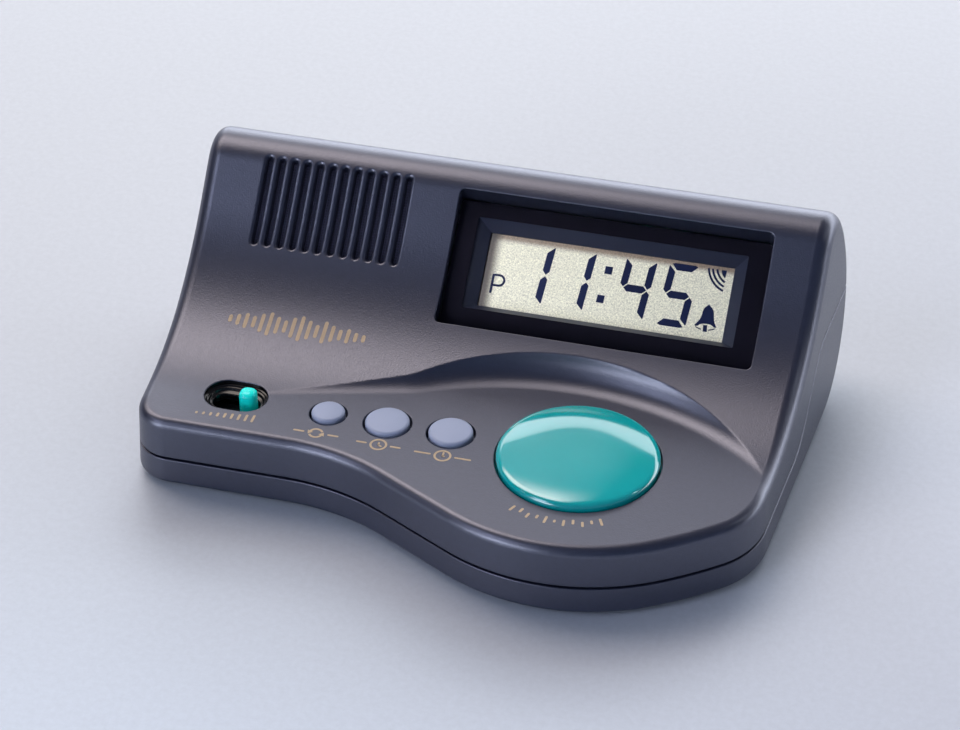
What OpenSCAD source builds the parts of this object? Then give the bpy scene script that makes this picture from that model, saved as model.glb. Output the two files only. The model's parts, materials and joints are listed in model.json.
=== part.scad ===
// Talking clock with a display, a speaker grille and one large talk button.
// Frame: X to the right, Y to the rear, Z up, millimetres, feet on Z = 0.

/* [Case] */
// height of the control deck above the case bottom
deck_z = 15.2; // [13:0.1:18]
// radius of the hollow sweep from deck to sloping face
sweep_r = 55; // [40:1:80]
// where the sweep starts
sweep_y = -18.1; // [-24:0.1:-10]
// steepest slope of the face in degrees
face_a = 47; // [35:1:55]
// straight length of the face above the sweep
face_len = 8.8; // [4:0.1:14]
// radius of the ridge along the top
ridge_r = 8; // [5:0.5:12]
// rearmost point of the case
rear_y = 46.4; // [42:0.1:52]
// radius of the tucked-in lower rear
tuck_r = 20.5; // [15:0.5:25]
// line of the straight left part of the front
front_y = -28.7; // [-34:0.1:-24]
// half width of the case where the side walls begin
half_w = 62.55; // [58:0.05:68]
// outward spread of the side walls towards the rear in degrees
flare = 4; // [0:0.5:6]
// inward lean of the side walls in degrees
draft = 3; // [0:0.5:5]
// wall thickness
wall = 2; // [1.6:0.1:2.6]
// height of the joint line at the front
part_front = 6.3; // [5:0.1:8]
// height of the joint line at the rear
part_rear = 19.5; // [15:0.5:22]
// width of the groove between the shells
part_gap = 0.4; // [0.2:0.1:0.8]
// how far the feet stand out
foot_h = 0.8; // [0.5:0.1:1.5]

/* [Display] */
// tilt of the display window in degrees
lens_a = 42; // [36:1:48]
// rear position of the window centre
lens_y = 19.9; // [16:0.1:24]
// height of the window centre
lens_z = 29.8; // [26:0.1:34]
// left edge of the window recess
lens_x0 = -10.65; // [-14:0.05:-6]
// right edge of the window recess
lens_x1 = 52.65; // [48:0.05:56]

/* [Controls] */
// centre of the talk button across
talk_x = 25.2; // [22:0.05:28]
// centre of the talk button in depth
talk_y = -19.5; // [-22:0.1:-16]
// radius of the talk button
talk_r = 15.6; // [13:0.1:17]
// depth position of the row of small buttons
row_y = -17.95; // [-20:0.05:-16]
// mode button across
mode_x = -24.6; // [-28:0.05:-22]
// hour button across
hour_x = -12.75; // [-15:0.05:-10]
// minute button across
minute_x = -0.15; // [-3:0.05:3]
// radius of the mode button
mode_r = 3.25; // [2.6:0.05:3.6]
// radius of the hour and minute buttons
set_r = 4.3; // [3.6:0.05:4.8]
// travel of the talk button
talk_travel = 1.2; // [1:0.1:2]
// height of the edge of the talk button above the deck
talk_h = 1.5; // [1:0.1:3]
// height of the edge of the small buttons above the deck
set_h = 1; // [0.6:0.05:1.6]
// centre of the volume slot across
vol_x = -43.55; // [-46:0.05:-40]
// centre of the volume slot in depth
vol_y = -17.2; // [-20:0.1:-15]
// place of the volume knob from the slot centre
knob_dx = 2.5; // [-2.5:0.1:2.5]

/* [Speaker] */
// number of sound slots
slots = 12; // [6:1:14]
// first sound slot across
slot_x0 = -50.65; // [-54:0.05:-48]
// spacing of the sound slots
slot_pitch = 2.655; // [2.2:0.005:3]
// width of a sound slot
slot_w = 1.45; // [1:0.05:1.8]
// radius of the loudspeaker
spk_r = 14; // [10:0.5:15]

/* [Power] */
// radius of a cell
cell_r = 5.2; // [5:0.05:5.3]
// length of a cell without its tip
cell_l = 43.5; // [42:0.1:44]
// left inside end of the cell bay
bay_x0 = -10; // [-14:0.5:-4]
// length of the cell bay
bay_l = 50.6; // [50:0.1:54]
// front inside wall of the cell bay
bay_y0 = 6.5; // [6:0.1:8]
// depth of the cell bay
bay_d = 22.4; // [22:0.1:24]

/* [Hidden] */
$fn = 64;

// side view: sweep, face, ridge, rear, tucked lower rear, bottom
sweep_c = [sweep_y, deck_z + sweep_r];
sweep_end = sweep_c + sweep_r * [sin(face_a), -cos(face_a)];
ridge_c = sweep_end + face_len * [cos(face_a), sin(face_a)] + ridge_r * [sin(face_a), -cos(face_a)];
rear_dy = rear_y - ridge_c[0];
rear_dz = ridge_c[1] - tuck_r;
rear_r = (rear_dy * rear_dy + rear_dz * rear_dz - ridge_r * ridge_r) / (2 * (rear_dy - ridge_r));
rear_c = [rear_y - rear_r, tuck_r];
rear_a = atan2(ridge_c[1] - rear_c[1], ridge_c[0] - rear_c[0]);
tuck_c = [rear_y - tuck_r, tuck_r];
function arc(c, r, a0, a1, n) = [for (i = [0 : n]) let (a = a0 + (a1 - a0) * i / n) c + r * [cos(a), sin(a)]];
function side(t) = concat(
  [[-70, t], [-70, deck_z - t]],
  arc(sweep_c, sweep_r + t, -90, -90 + face_a, 16),
  arc(ridge_c, ridge_r - t, 90 + face_a, rear_a, 14),
  arc(rear_c, rear_r - t, rear_a * 0.85, 0, 6),
  arc(tuck_c, tuck_r - t, -9, -90, 10));

// plan view: left corner, straight front, hollow curve, slant, round front, right corner
corner_r = 8;
hollow_r = 44;
slant_a = 28;
slant_l = 17;
round_r = 40;
round_a = 31;
flank_r = 80;
flank_a = 41.3;
nose_r = 18;
function left_of(h) = [-sin(h), cos(h)];
function along(h) = [cos(h), sin(h)];
function turn_l(c, r, h0, h1, n) = [for (i = [0 : n]) let (h = h0 + (h1 - h0) * i / n) c - r * left_of(h)];
function turn_r(c, r, h0, h1, n) = [for (i = [0 : n]) let (h = h0 + (h1 - h0) * i / n) c + r * left_of(h)];
corner_c = [-half_w + corner_r - 0.02, front_y + corner_r];
hollow_p = [-30.45, front_y];
hollow_c = hollow_p - hollow_r * left_of(0);
slant_p = hollow_c + hollow_r * left_of(-slant_a);
round_p = slant_p + slant_l * along(-slant_a);
round_c = round_p + round_r * left_of(-slant_a);
flank_p = round_c - round_r * left_of(round_a);
flank_c = flank_p + flank_r * left_of(round_a);
nose_p = flank_c - flank_r * left_of(flank_a);
nose_c = nose_p + nose_r * left_of(flank_a);
wall_h = 90 - flare;
left_p = corner_c - corner_r * left_of(-wall_h);
right_p = nose_c - nose_r * left_of(wall_h);
function plan(t) = concat(
  [left_p + t * left_of(-wall_h) - 100 * along(-wall_h)],
  turn_l(corner_c, corner_r - t, -wall_h, 0, 8),
  turn_r(hollow_c, hollow_r + t, 0, -slant_a, 8),
  turn_l(round_c, round_r - t, -slant_a, round_a, 16),
  turn_l(flank_c, flank_r - t, round_a + 2, flank_a, 3),
  turn_l(nose_c, nose_r - t, flank_a + 3, wall_h, 9),
  [right_p + t * left_of(wall_h) + 100 * along(wall_h)]);

// joint line between the shells in side view
rise_y0 = 2;
rise_y1 = 26;
function ease(q) = let (c = min(1, max(0, q))) c * c * (3 - 2 * c);
function joint_z(y) = part_front + (part_rear - part_front) * ease((y - rise_y0) / (rise_y1 - rise_y0));
function joint_line(d) = concat([[-80, part_front + d]], [for (i = [0 : 18]) let (y = rise_y0 + (rise_y1 - rise_y0) * i / 18) [y, joint_z(y) + d]], [[80, part_rear + d]]);

pad_c = [19.2, -59.7];
pad_r = 59.4;
pad_cove = 5.6;
tail_e = [-12.4, -8.6];
tail_a = 15.5;
tail_l = 24;
tail_z = 0.03;
bay_y1 = bay_y0 + bay_d;
bay_x1 = bay_x0 + bay_l;
door_t = 2;
cell_z = 2.35 + cell_r;
row_lo = bay_y0 + 0.35 + cell_r;
row_hi = bay_y1 - 0.35 - cell_r;
deck_in = deck_z - wall;
board_z = 5.5;
screw_at = [[-55, -19], [54, -16], [-58, 13.5], [58, 13.5]];
key_at = [[-48, -8.5], [-33.5, -22.3], [5.5, -8.2], [43.5, -8.2], [-6.5, -22.9]];
foot_at = [[-44, -22], [42, -31], [-50, 21.5], [50, 21.5]];
spk_at = [-36, 21.5, 32];
ear_at = [[-18.3, -1], [18.3, -1], [0, -18.9]];
lcd_post = [[-12.4, -1.5], [-12.4, 9.5], [52.9, -7], [52.9, 8]];
set_at = [[mode_x, mode_r], [hour_x, set_r], [minute_x, set_r]];

module place() { translate([0, 0, foot_h]) children(); }
module from_side(w, c = 0) { translate([c - w / 2, 0, 0]) rotate([90, 0, 90]) linear_extrude(w) children(); }
module on_lens() { translate([0, lens_y, lens_z]) rotate([lens_a, 0, 0]) children(); }
module on_speaker() { translate(spk_at) rotate([45, 0, 0]) children(); }
module block(a, b) { translate(a) cube(b - a); }
module side_cut(t) {
  translate([half_w - t, -20.9, 0]) rotate([0, 0, -flare]) rotate([0, -draft, 0]) translate([0, -150, -60]) cube([60, 300, 200]);
}
// round pad scooped out of the foot of the slope; its left edge runs out straight
module pad_cut(t) {
  cove = [for (a = [0 : 13 : 78]) [(pad_cove + t) * sin(a), pad_cove - (pad_cove + t) * cos(a)]];
  translate([pad_c[0], pad_c[1], deck_z]) rotate_extrude($fn = 180)
    polygon(concat([[0, 20], [0, -t]], [for (p = cove) [p[0] + pad_r, p[1]]], [[cove[6][0] + pad_r + 0.5, 20]]));
  translate([tail_e[0] - tail_l * cos(tail_a), tail_e[1] - tail_l * sin(tail_a), deck_z + tail_z]) rotate([0, 0, 90 + tail_a]) rotate([90, 0, 0]) linear_extrude(tail_l + 4.3)
    polygon(concat([[-9.3, 20], [-9.3, -t]], cove, [[cove[6][0] + 0.5, 20]]));
}
module body(t) {
  difference() {
    intersection() {
      from_side(150) polygon(side(t));
      translate([0, 0, -5]) linear_extrude(60) polygon(plan(t));
    }
    side_cut(t);
    mirror([1, 0, 0]) side_cut(t);
    pad_cut(t);
  }
}
module above(d) { from_side(160) polygon(concat(joint_line(d), [[80, 80], [-80, 80]])); }
module below(d) { from_side(160) polygon(concat(joint_line(d), [[80, -20], [-80, -20]])); }
module stadium(l, w, h) {
  translate([-(l - w) / 2, -w / 2, 0]) cube([l - w, w, h]);
  for (s = [-1, 1]) translate([s * (l - w) / 2, 0, 0]) cylinder(d = w, h = h);
}
module sound_slots(w, l, n0, n1) {
  for (i = [0 : slots - 1]) translate([slot_x0 + i * slot_pitch - spk_at[0], 2.25, n0]) rotate([0, 0, 90]) stadium(l, w, n1 - n0);
}
module screw(r, l, head_r, head_h) {
  cylinder(r = r, h = l);
  translate([0, 0, -head_h]) difference() {
    cylinder(r = head_r, h = head_h + 0.01);
    for (a = [0, 90]) rotate([0, 0, a]) translate([-head_r * 0.6, -0.25, -1]) cube([head_r * 1.2, 0.5, 1.6]);
  }
}
function unit(v) = v / norm(v);
function way(p, i) = unit(p[min(i + 1, len(p) - 1)] - p[max(i - 1, 0)]);
function side_a(d) = unit(cross(d, [0.31, 0.17, 0.93]));
function ring(p, i, r, n) = let (d = way(p, i), u = side_a(d), w = cross(d, u)) [for (k = [0 : n - 1]) p[i] + r * (cos(360 * k / n) * u + sin(360 * k / n) * w)];
module tube(p, r, n = 8) {
  m = len(p);
  polyhedron(
    points = [for (i = [0 : m - 1]) each ring(p, i, r, n)],
    faces = concat(
      [[for (k = [0 : n - 1]) k]],
      [[for (k = [n - 1 : -1 : 0]) (m - 1) * n + k]],
      [for (i = [0 : m - 2]) for (k = [0 : n - 1]) [i * n + k, (i + 1) * n + k, (i + 1) * n + (k + 1) % n]],
      [for (i = [0 : m - 2]) for (k = [0 : n - 1]) [i * n + k, (i + 1) * n + (k + 1) % n, i * n + (k + 1) % n]]));
}
function bend(a, b, c, q) = (1 - q) * (1 - q) * a + 2 * q * (1 - q) * b + q * q * c;
function lead(a, b, c) = [for (i = [0 : 10]) bend(a, b, c, i / 10)];

module upper_case() {
  color("#3c3b44") place() difference() {
    union() {
      intersection() {
        difference() { body(0); body(wall); }
        above(part_gap / 2);
      }
      intersection() {
        body(0.6);
        union() {
          on_lens() block([lens_x0 - 2, -17, -4.3], [lens_x1 + 2, 15, 6]);
          on_lens() for (p = lcd_post) translate([p[0], p[1], -9.05]) cylinder(r = 2.1, h = 12);
          on_speaker() for (p = ear_at) translate([p[0], p[1], -4.5]) cylinder(r = 2.2, h = 8);
          translate([vol_x, vol_y, deck_z - 3]) stadium(14.6, 10.8, 2.9);
          for (p = screw_at) translate([p[0], p[1], 8]) cylinder(r = 2.8, h = 30);
          for (p = key_at) translate([p[0], p[1], board_z]) cylinder(r = 2.2, h = 12);
        }
      }
    }
    on_lens() translate([lens_x0, 0, 0]) rotate([90, 0, 90]) linear_extrude(lens_x1 - lens_x0)
      polygon([[-14.35, -1.75], [11.9, -1.75], [11.9, 0], [21.9, 10], [-14.35, 10]]);
    on_lens() block([-7.5, -11, -8], [49, 9.8, 0]);
    on_lens() for (p = lcd_post) translate([p[0], p[1], -10]) cylinder(r = 0.82, h = 5.5);
    on_speaker() sound_slots(slot_w, 18.4, -6, 8);
    on_speaker() for (p = ear_at) translate([p[0], p[1], -6]) cylinder(r = 0.82, h = 5);
    translate([talk_x, talk_y, 9]) cylinder(r = talk_r + 0.35, h = 12, $fn = 96);
    for (p = set_at) translate([p[0], row_y, 9]) cylinder(r = p[1] + 0.5, h = 12);
    translate([vol_x, vol_y, deck_z - 0.75]) stadium(12.6, 8.8, 8);
    translate([vol_x, vol_y, deck_z - 1.6]) stadium(11.4, 7.4, 2);
    translate([vol_x, vol_y, 9]) stadium(9.4, 4.5, 6);
    for (p = screw_at) translate([p[0], p[1], 6]) cylinder(r = 1.32, h = 7.6);
    for (p = key_at) translate([p[0], p[1], 4]) cylinder(r = 0.82, h = 6.5);
  }
}

module lower_case() {
  color("#35343d") place() difference() {
    union() {
      intersection() {
        difference() { body(0); body(wall); }
        below(-part_gap / 2);
      }
      intersection() {
        difference() { body(wall + 0.15); body(wall + 1.15); }
        below(1.6);
        above(-2.2);
        block([-80, -60, 3], [80, 60, 40]);
      }
      intersection() {
        body(0.6);
        below(-0.5);
        union() {
          for (p = screw_at) translate([p[0], p[1], 1]) cylinder(r = 3.6, h = 6.8);
          block([bay_x0 - 1.2, bay_y0 - 1.2, 1], [bay_x1 + 1.2, bay_y1 + 1.2, 14]);
          block([bay_x0 - 4, bay_y0 - 1.2, 1], [bay_x1 + 4, bay_y1 + 7, 3.2]);
        }
      }
      intersection() {
        difference() { body(wall - 0.3); body(wall + 0.15); }
        below(-0.5);
        above(-2.2);
        block([-80, -60, 3], [80, 60, 40]);
      }
    }
    for (p = screw_at) translate([p[0], p[1], -2]) { cylinder(r = 2.8, h = 5); cylinder(r = 1.45, h = 12); }
    block([bay_x0, bay_y0, -1], [bay_x1, bay_y1, 13]);
    block([bay_x0, bay_y0, -1], [bay_x1, rear_y, door_t + 0.2]);
    block([bay_x0 - 1.4, bay_y0, 0.8], [bay_x1 + 1.4, rear_y - 6, 1.9]);
    block([bay_x0 - 3, bay_y0 + 3, 9], [bay_x0 + 1, bay_y0 + 4.4, 11]);
    block([bay_x0 - 3, bay_y1 - 4.4, 9], [bay_x0 + 1, bay_y1 - 3, 11]);
    for (p = foot_at) translate([p[0], p[1], -1]) cylinder(r = 4.1, h = 1.7);
  }
}

module display_lens() {
  color("#dfe6ea", 0.4) place() on_lens() block([lens_x0 + 0.15, -14.2, -1.5], [lens_x1 - 0.15, 11.75, 0]);
}
module lens_mask() {
  color("#121116") place() on_lens() difference() {
    block([lens_x0 + 0.2, -14.15, -1.7], [lens_x1 - 0.2, 11.7, -1.52]);
    block([-6.55, -9.9, -3], [48.1, 8.8, 0]);
  }
}
module lcd_frame() {
  color("#2c2d38") place() on_lens() difference() {
    union() {
      block([-7.35, -10.85, -4.4], [48.85, 9.65, -1.78]);
      block([-9, -13, -8.6], [50.5, 11.3, -4.36]);
    }
    polyhedron(points = [[-4.1, -8.6, -4.4], [45.5, -8.6, -4.4], [45.5, 6.6, -4.4], [-4.1, 6.6, -4.4],
        [-6.98, -10.13, -1.28], [48.4, -10.13, -1.28], [48.4, 9.13, -1.28], [-6.98, 9.13, -1.28]],
      faces = [[0, 1, 2, 3], [7, 6, 5, 4], [0, 4, 5, 1], [1, 5, 6, 2], [2, 6, 7, 3], [3, 7, 4, 0]]);
    block([-4.1, -8.6, -5], [45.5, 6.6, -4.3]);
    block([-6.3, -10.6, -9], [47.8, 8.9, -4.6]);
  }
}
module lcd_panel() { color("#cdcbb9") place() on_lens() block([-6.1, -10.4, -6.85], [47.6, 8.7, -4.65]); }
module contact_strips() {
  color("#26262a") place() on_lens() {
    block([-5, -10.1, -9.03], [46.5, -8.1, -6.88]);
    block([-5, 6.4, -9.03], [46.5, 8.4, -6.88]);
  }
}
module display_board() {
  color("#2f6b45") place() on_lens() difference() {
    block([-14.6, -11.4, -10.2], [54.8, 12.5, -9.06]);
    for (p = lcd_post) translate([p[0], p[1], -11]) cylinder(r = 1, h = 3);
  }
}
module voice_chip() {
  color("#17171a") place() on_lens() translate([20, 0.5, -10.22]) mirror([0, 0, 1]) rotate_extrude()
    polygon(concat([[0, 0], [6, 0]], [for (i = [1 : 8]) [6 * cos(i * 11.25), 1.7 * sin(i * 11.25)]]));
}
module clock_crystal() {
  color("#b9bcc0") place() on_lens() {
    translate([36, -5, -11.5]) rotate([0, 90, 0]) cylinder(r = 1.05, h = 6);
    translate([34.5, -5, -11.5]) rotate([0, 90, 0]) cylinder(r = 0.35, h = 1.6);
  }
}
module board_capacitors() {
  color("#1f2f55") place() on_lens() {
    translate([4, 2, -17.2]) cylinder(r = 2.5, h = 6.95);
    translate([44, 3, -16.2]) cylinder(r = 2, h = 5.95);
    translate([-4, -4, -15.2]) cylinder(r = 2, h = 4.95);
  }
}
module display_screws() {
  color("#a9adb3") place() on_lens() for (p = lcd_post) translate([p[0], p[1], -10.22]) screw(0.8, 4.6, 1.7, 1.2);
}

module grille_cloth() { color("#101014") place() on_speaker() block([-15.8, -12, -2.45], [15.8, 11.6, -2.15]); }
module speaker_frame() {
  color("#9da1a6") place() on_speaker() translate([0, -1, 0]) rotate_extrude()
    polygon([[12, -3.6], [spk_r, -3.6], [spk_r, -4.4], [12.6, -4.4], [8.2, -8.9], [3.6, -8.9], [3.6, -8.1], [7.8, -8.1], [12, -4.1]]);
}
module speaker_cone() {
  color("#3a3733") place() on_speaker() translate([0, -1, 0]) rotate_extrude()
    polygon([[0, -6.4], [1.6, -6.5], [3.2, -7.1], [10.2, -4.5], [11.2, -3.9], [11.8, -3.95], [11.8, -4.05], [11.2, -4.1], [10.2, -4.75], [3.3, -7.4], [1.6, -6.8], [0, -6.7]]);
}
module speaker_magnet() {
  color("#55585c") place() on_speaker() translate([0, -1, 0]) rotate_extrude()
    polygon([[0, -12.6], [7, -12.6], [7, -8.95], [3.4, -8.95], [3.4, -8], [0, -8]]);
}
module speaker_retainer() {
  color("#2a2a30") place() on_speaker() difference() {
    union() {
      translate([0, -1, -5.7]) cylinder(r = 16, h = 1.15);
      for (p = ear_at) translate([p[0], p[1], -5.7]) cylinder(r = 2.9, h = 1.15);
    }
    translate([0, -1, -7]) cylinder(r = 13.2, h = 4);
    for (p = ear_at) translate([p[0], p[1], -7]) cylinder(r = 1, h = 4);
  }
}
module speaker_screws() {
  color("#a9adb3") place() on_speaker() for (p = ear_at) translate([p[0], p[1], -5.72]) screw(0.8, 4.4, 1.7, 1.2);
}

module key_board() {
  color("#2f6b45") place() difference() {
    union() {
      block([-50.5, -24.8, board_z - 1.6], [46.5, -5.6, board_z - 0.02]);
      block([14, -28, board_z - 1.6], [36.5, -24.7, board_z - 0.02]);
    }
    for (p = key_at) translate([p[0], p[1], 1]) cylinder(r = 1, h = 8);
  }
}
module key_screws() {
  color("#a9adb3") place() for (p = key_at) translate([p[0], p[1], board_z - 1.62]) screw(0.8, 5.4, 1.7, 1.2);
}
module talk_button() {
  color("#00a59b") place() translate([talk_x, talk_y, 0]) rotate_extrude($fn = 128)
    polygon(concat([[0, 10.6], [3, 10.6], [3, 11.9], [17.2, 11.9], [17.2, 12.9], [talk_r, 12.9]],
      [for (a = [0 : 12 : 84]) [talk_r - 1.6 + 1.6 * cos(a), deck_z + talk_h - 1 + sin(a)]],
      [for (i = [0 : 9]) let (q = 1 - i / 9) [(talk_r - 1.6) * q, deck_z + talk_h + 0.5 * (1 - pow(q, 4))]]));
}
module dome(x, y, r0, r1, z1) {
  translate([x, y, 0]) rotate_extrude() polygon([[r0 - 1, board_z], [r0, board_z], [r0, board_z + 0.5], [r1 + 0.5, z1 - 1], [r1 + 0.5, z1], [0, z1], [0, z1 - 1.2], [r1 - 0.3, z1 - 1.2], [r0 - 1, board_z + 0.6]]);
}
module talk_dome() { color("#c9ccd2") place() dome(talk_x, talk_y, 6.8, 3.2, 10.5); }
module small_button(x, r) {
  translate([x, row_y, 0]) rotate_extrude()
    polygon(concat([[0, 10], [1.5, 10], [1.5, 11.9], [r + 1.25, 11.9], [r + 1.25, 12.9], [r, 12.9]],
      arc([r - 0.8, deck_z + set_h - 0.8], 0.8, 0, 82, 7),
      [for (i = [1 : 5]) let (q = 1 - i / 5) [(r - 0.8 + 0.8 * cos(82)) * q, deck_z + set_h + 0.2 - 0.208 * q * q]]));
}
module mode_button() { color("#a5afcd") place() small_button(mode_x, mode_r); }
module hour_button() { color("#a5afcd") place() small_button(hour_x, set_r); }
module minute_button() { color("#a5afcd") place() small_button(minute_x, set_r); }
module mode_dome() { color("#c9ccd2") place() dome(mode_x, row_y, 3.6, 1.7, 9.9); }
module hour_dome() { color("#c9ccd2") place() dome(hour_x, row_y, 3.6, 1.7, 9.9); }
module minute_dome() { color("#c9ccd2") place() dome(minute_x, row_y, 3.6, 1.7, 9.9); }
module volume_knob() {
  color("#17b8a6") place() translate([vol_x + knob_dx, vol_y, 0]) {
    translate([0, 0, 11.7]) linear_extrude(deck_z + 1.1 - 11.7) offset(1.1) square(1.2, center = true);
    translate([0, 0, deck_z + 1.09]) linear_extrude(0.71, scale = 0.78) offset(1.1) square(1.2, center = true);
    block([-3.7, -3.1, 10.9], [3.7, 3.1, 11.8]);
    translate([0, 0, 8.2]) cylinder(r = 0.9, h = 3);
  }
}
module volume_switch() {
  color("#b4b7bb") place() translate([vol_x, vol_y, 0]) difference() {
    block([-6.6, -3.3, board_z + 0.02], [6.6, 3.3, 10.3]);
    translate([0, 0, 7.6]) stadium(8.6, 2.5, 4);
  }
}

module battery_door() {
  color("#35343d") place() {
    union() {
      intersection() {
        body(0);
        block([bay_x0 + 0.3, bay_y0 + 0.3, -1], [bay_x1 - 0.3, 32.5, door_t]);
      }
      block([bay_x0 - 1.1, bay_y0 + 1, 1.05], [bay_x1 + 1.1, bay_y1 - 1, 1.65]);
      for (i = [0 : 4]) block([(bay_x0 + bay_x1) / 2 - 6.7, 21.1 + 1.8 * i, -0.25], [(bay_x0 + bay_x1) / 2 + 6.7, 21.9 + 1.8 * i, 0.6]);
    }
  }
}
module cell() {
  cylinder(r = cell_r, h = cell_l);
  translate([0, 0, cell_l]) cylinder(r = 1.9, h = 0.9);
}
module battery_cells() {
  color("#6f7680") place() {
    translate([bay_x0 + 5, row_lo, cell_z]) rotate([0, 90, 0]) cell();
    translate([bay_x1 - 5, row_hi, cell_z]) rotate([0, -90, 0]) cell();
  }
}
function coil(x, y, s) = [for (i = [0 : 54]) let (a = i * 20) [x + s * (0.1 + 3.6 * i / 54), y + (3.2 - 0.9 * i / 54) * cos(a), cell_z + (3.2 - 0.9 * i / 54) * sin(a)]];
module battery_link() {
  color("#c3c6ca") place() {
    difference() {
      block([bay_x1 - 0.55, bay_y0 + 0.8, 3], [bay_x1 - 0.15, bay_y1 - 0.8, 11.6]);
      block([bay_x1 - 2, row_lo + 4.2, 2.5], [bay_x1 + 1, row_hi - 4.2, 6]);
    }
    tube(coil(bay_x1 - 0.92, row_hi, -1), 0.28, 6);
  }
}
module battery_plate() {
  color("#c3c6ca") place() block([bay_x0 + 0.15, row_hi - 4.2, 3], [bay_x0 + 0.55, row_hi + 4.2, 11.6]);
}
module battery_spring() {
  color("#c3c6ca") place() {
    block([bay_x0 + 0.15, row_lo - 4.2, 3], [bay_x0 + 0.55, row_lo + 4.2, 11.6]);
    tube(coil(bay_x0 + 0.92, row_lo, 1), 0.28, 6);
  }
}

module case_screws() {
  color("#a9adb3") place() for (p = screw_at) translate([p[0], p[1], 2.98]) screw(1.3, 9.6, 2.5, 1.6);
}
module rubber_feet() {
  color("#222225") for (p = foot_at) translate([p[0], p[1], 0]) cylinder(r = 3.9, h = foot_h + 0.68);
}
module speaker_leads() {
  color("#b23a34") place() {
    tube(lead([-40.5, 25.6, 15.6], [-42, 14, 12], [-44, -6.6, 6.1]), 0.5);
    tube(lead([-36.5, 25.6, 15.6], [-38, 14, 12], [-40, -6.6, 6.1]), 0.5);
  }
}
module battery_leads() {
  color("#8f2f2c") place() {
    tube(lead([-12.2, 10.2, 10], [-19, 10, 11], [-17, -6.4, 6.1]), 0.5);
    tube(lead([-12.2, 25.2, 10], [-26, 20, 12], [-24, -6.4, 6.1]), 0.5);
  }
}
module board_leads() {
  color("#d0b25a") place() for (i = [0 : 3])
    tube(lead([-11, 19.3 + 1.04 * i, 14.95 + 0.94 * i], [-26 - 1.4 * i, 19.3 + 1.04 * i, 13 + 0.94 * i], [-26 - 1.4 * i, -7, 6.1]), 0.42);
}

upper_case();
lower_case();
display_lens();
lens_mask();
lcd_frame();
lcd_panel();
contact_strips();
display_board();
voice_chip();
clock_crystal();
board_capacitors();
display_screws();
grille_cloth();
speaker_frame();
speaker_cone();
speaker_magnet();
speaker_retainer();
speaker_screws();
key_board();
key_screws();
talk_button();
talk_dome();
mode_button();
mode_dome();
hour_button();
hour_dome();
minute_button();
minute_dome();
volume_knob();
volume_switch();
battery_door();
battery_cells();
battery_link();
battery_plate();
battery_spring();
case_screws();
rubber_feet();
speaker_leads();
battery_leads();
board_leads();
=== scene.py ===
import json
import math
import bpy
import bmesh
import numpy as np
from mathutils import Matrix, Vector
from mathutils.geometry import delaunay_2d_cdt


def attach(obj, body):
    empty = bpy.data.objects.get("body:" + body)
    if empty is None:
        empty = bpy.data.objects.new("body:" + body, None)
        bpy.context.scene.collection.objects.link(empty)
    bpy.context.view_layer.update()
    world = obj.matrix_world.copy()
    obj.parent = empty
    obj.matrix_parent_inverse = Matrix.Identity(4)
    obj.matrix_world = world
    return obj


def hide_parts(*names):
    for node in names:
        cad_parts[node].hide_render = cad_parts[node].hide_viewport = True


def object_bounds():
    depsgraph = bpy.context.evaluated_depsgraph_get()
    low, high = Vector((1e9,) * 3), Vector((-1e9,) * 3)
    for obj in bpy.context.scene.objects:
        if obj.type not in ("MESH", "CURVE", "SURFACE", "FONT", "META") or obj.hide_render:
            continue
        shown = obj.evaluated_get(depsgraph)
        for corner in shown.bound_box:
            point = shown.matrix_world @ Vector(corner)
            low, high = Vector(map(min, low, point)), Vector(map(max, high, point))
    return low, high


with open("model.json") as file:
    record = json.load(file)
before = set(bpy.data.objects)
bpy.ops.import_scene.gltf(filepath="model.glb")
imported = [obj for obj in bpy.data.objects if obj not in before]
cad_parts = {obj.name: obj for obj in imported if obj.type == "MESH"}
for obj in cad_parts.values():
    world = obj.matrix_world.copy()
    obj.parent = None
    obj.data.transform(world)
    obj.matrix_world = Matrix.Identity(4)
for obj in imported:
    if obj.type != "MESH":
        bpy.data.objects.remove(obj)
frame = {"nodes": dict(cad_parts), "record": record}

CAD_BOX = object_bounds()
MM = 0.001
FOOT = 0.8

# ---------------------------------------------------------------- case shape (mm, z from the case bottom)
DECK, SR, SY = 15.2, 55.0, -18.1
FA, FL, RR, RY, TR = math.radians(47), 8.8, 8.0, 46.4, 20.5
TAN3, TAN4 = math.tan(math.radians(3)), math.tan(math.radians(4))
SC = np.array([SY, DECK + SR])
SE = SC + SR * np.array([math.sin(FA), -math.cos(FA)])
RC = SE + FL * np.array([math.cos(FA), math.sin(FA)]) + RR * np.array([math.sin(FA), -math.cos(FA)])
_dy, _dz = RY - RC[0], RC[1] - TR
RB = (_dy * _dy + _dz * _dz - RR * RR) / (2 * (_dy - RR))
BC = np.array([RY - RB, TR])
RA = math.atan2(RC[1] - BC[1], RC[0] - BC[0])
TC = np.array([RY - TR, TR])
S1 = SR * FA
S2 = S1 + FL
S3 = S2 + RR * (math.pi / 2 + FA - RA)
S4 = S3 + RB * RA
S5 = S4 + TR * math.pi / 2


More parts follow.
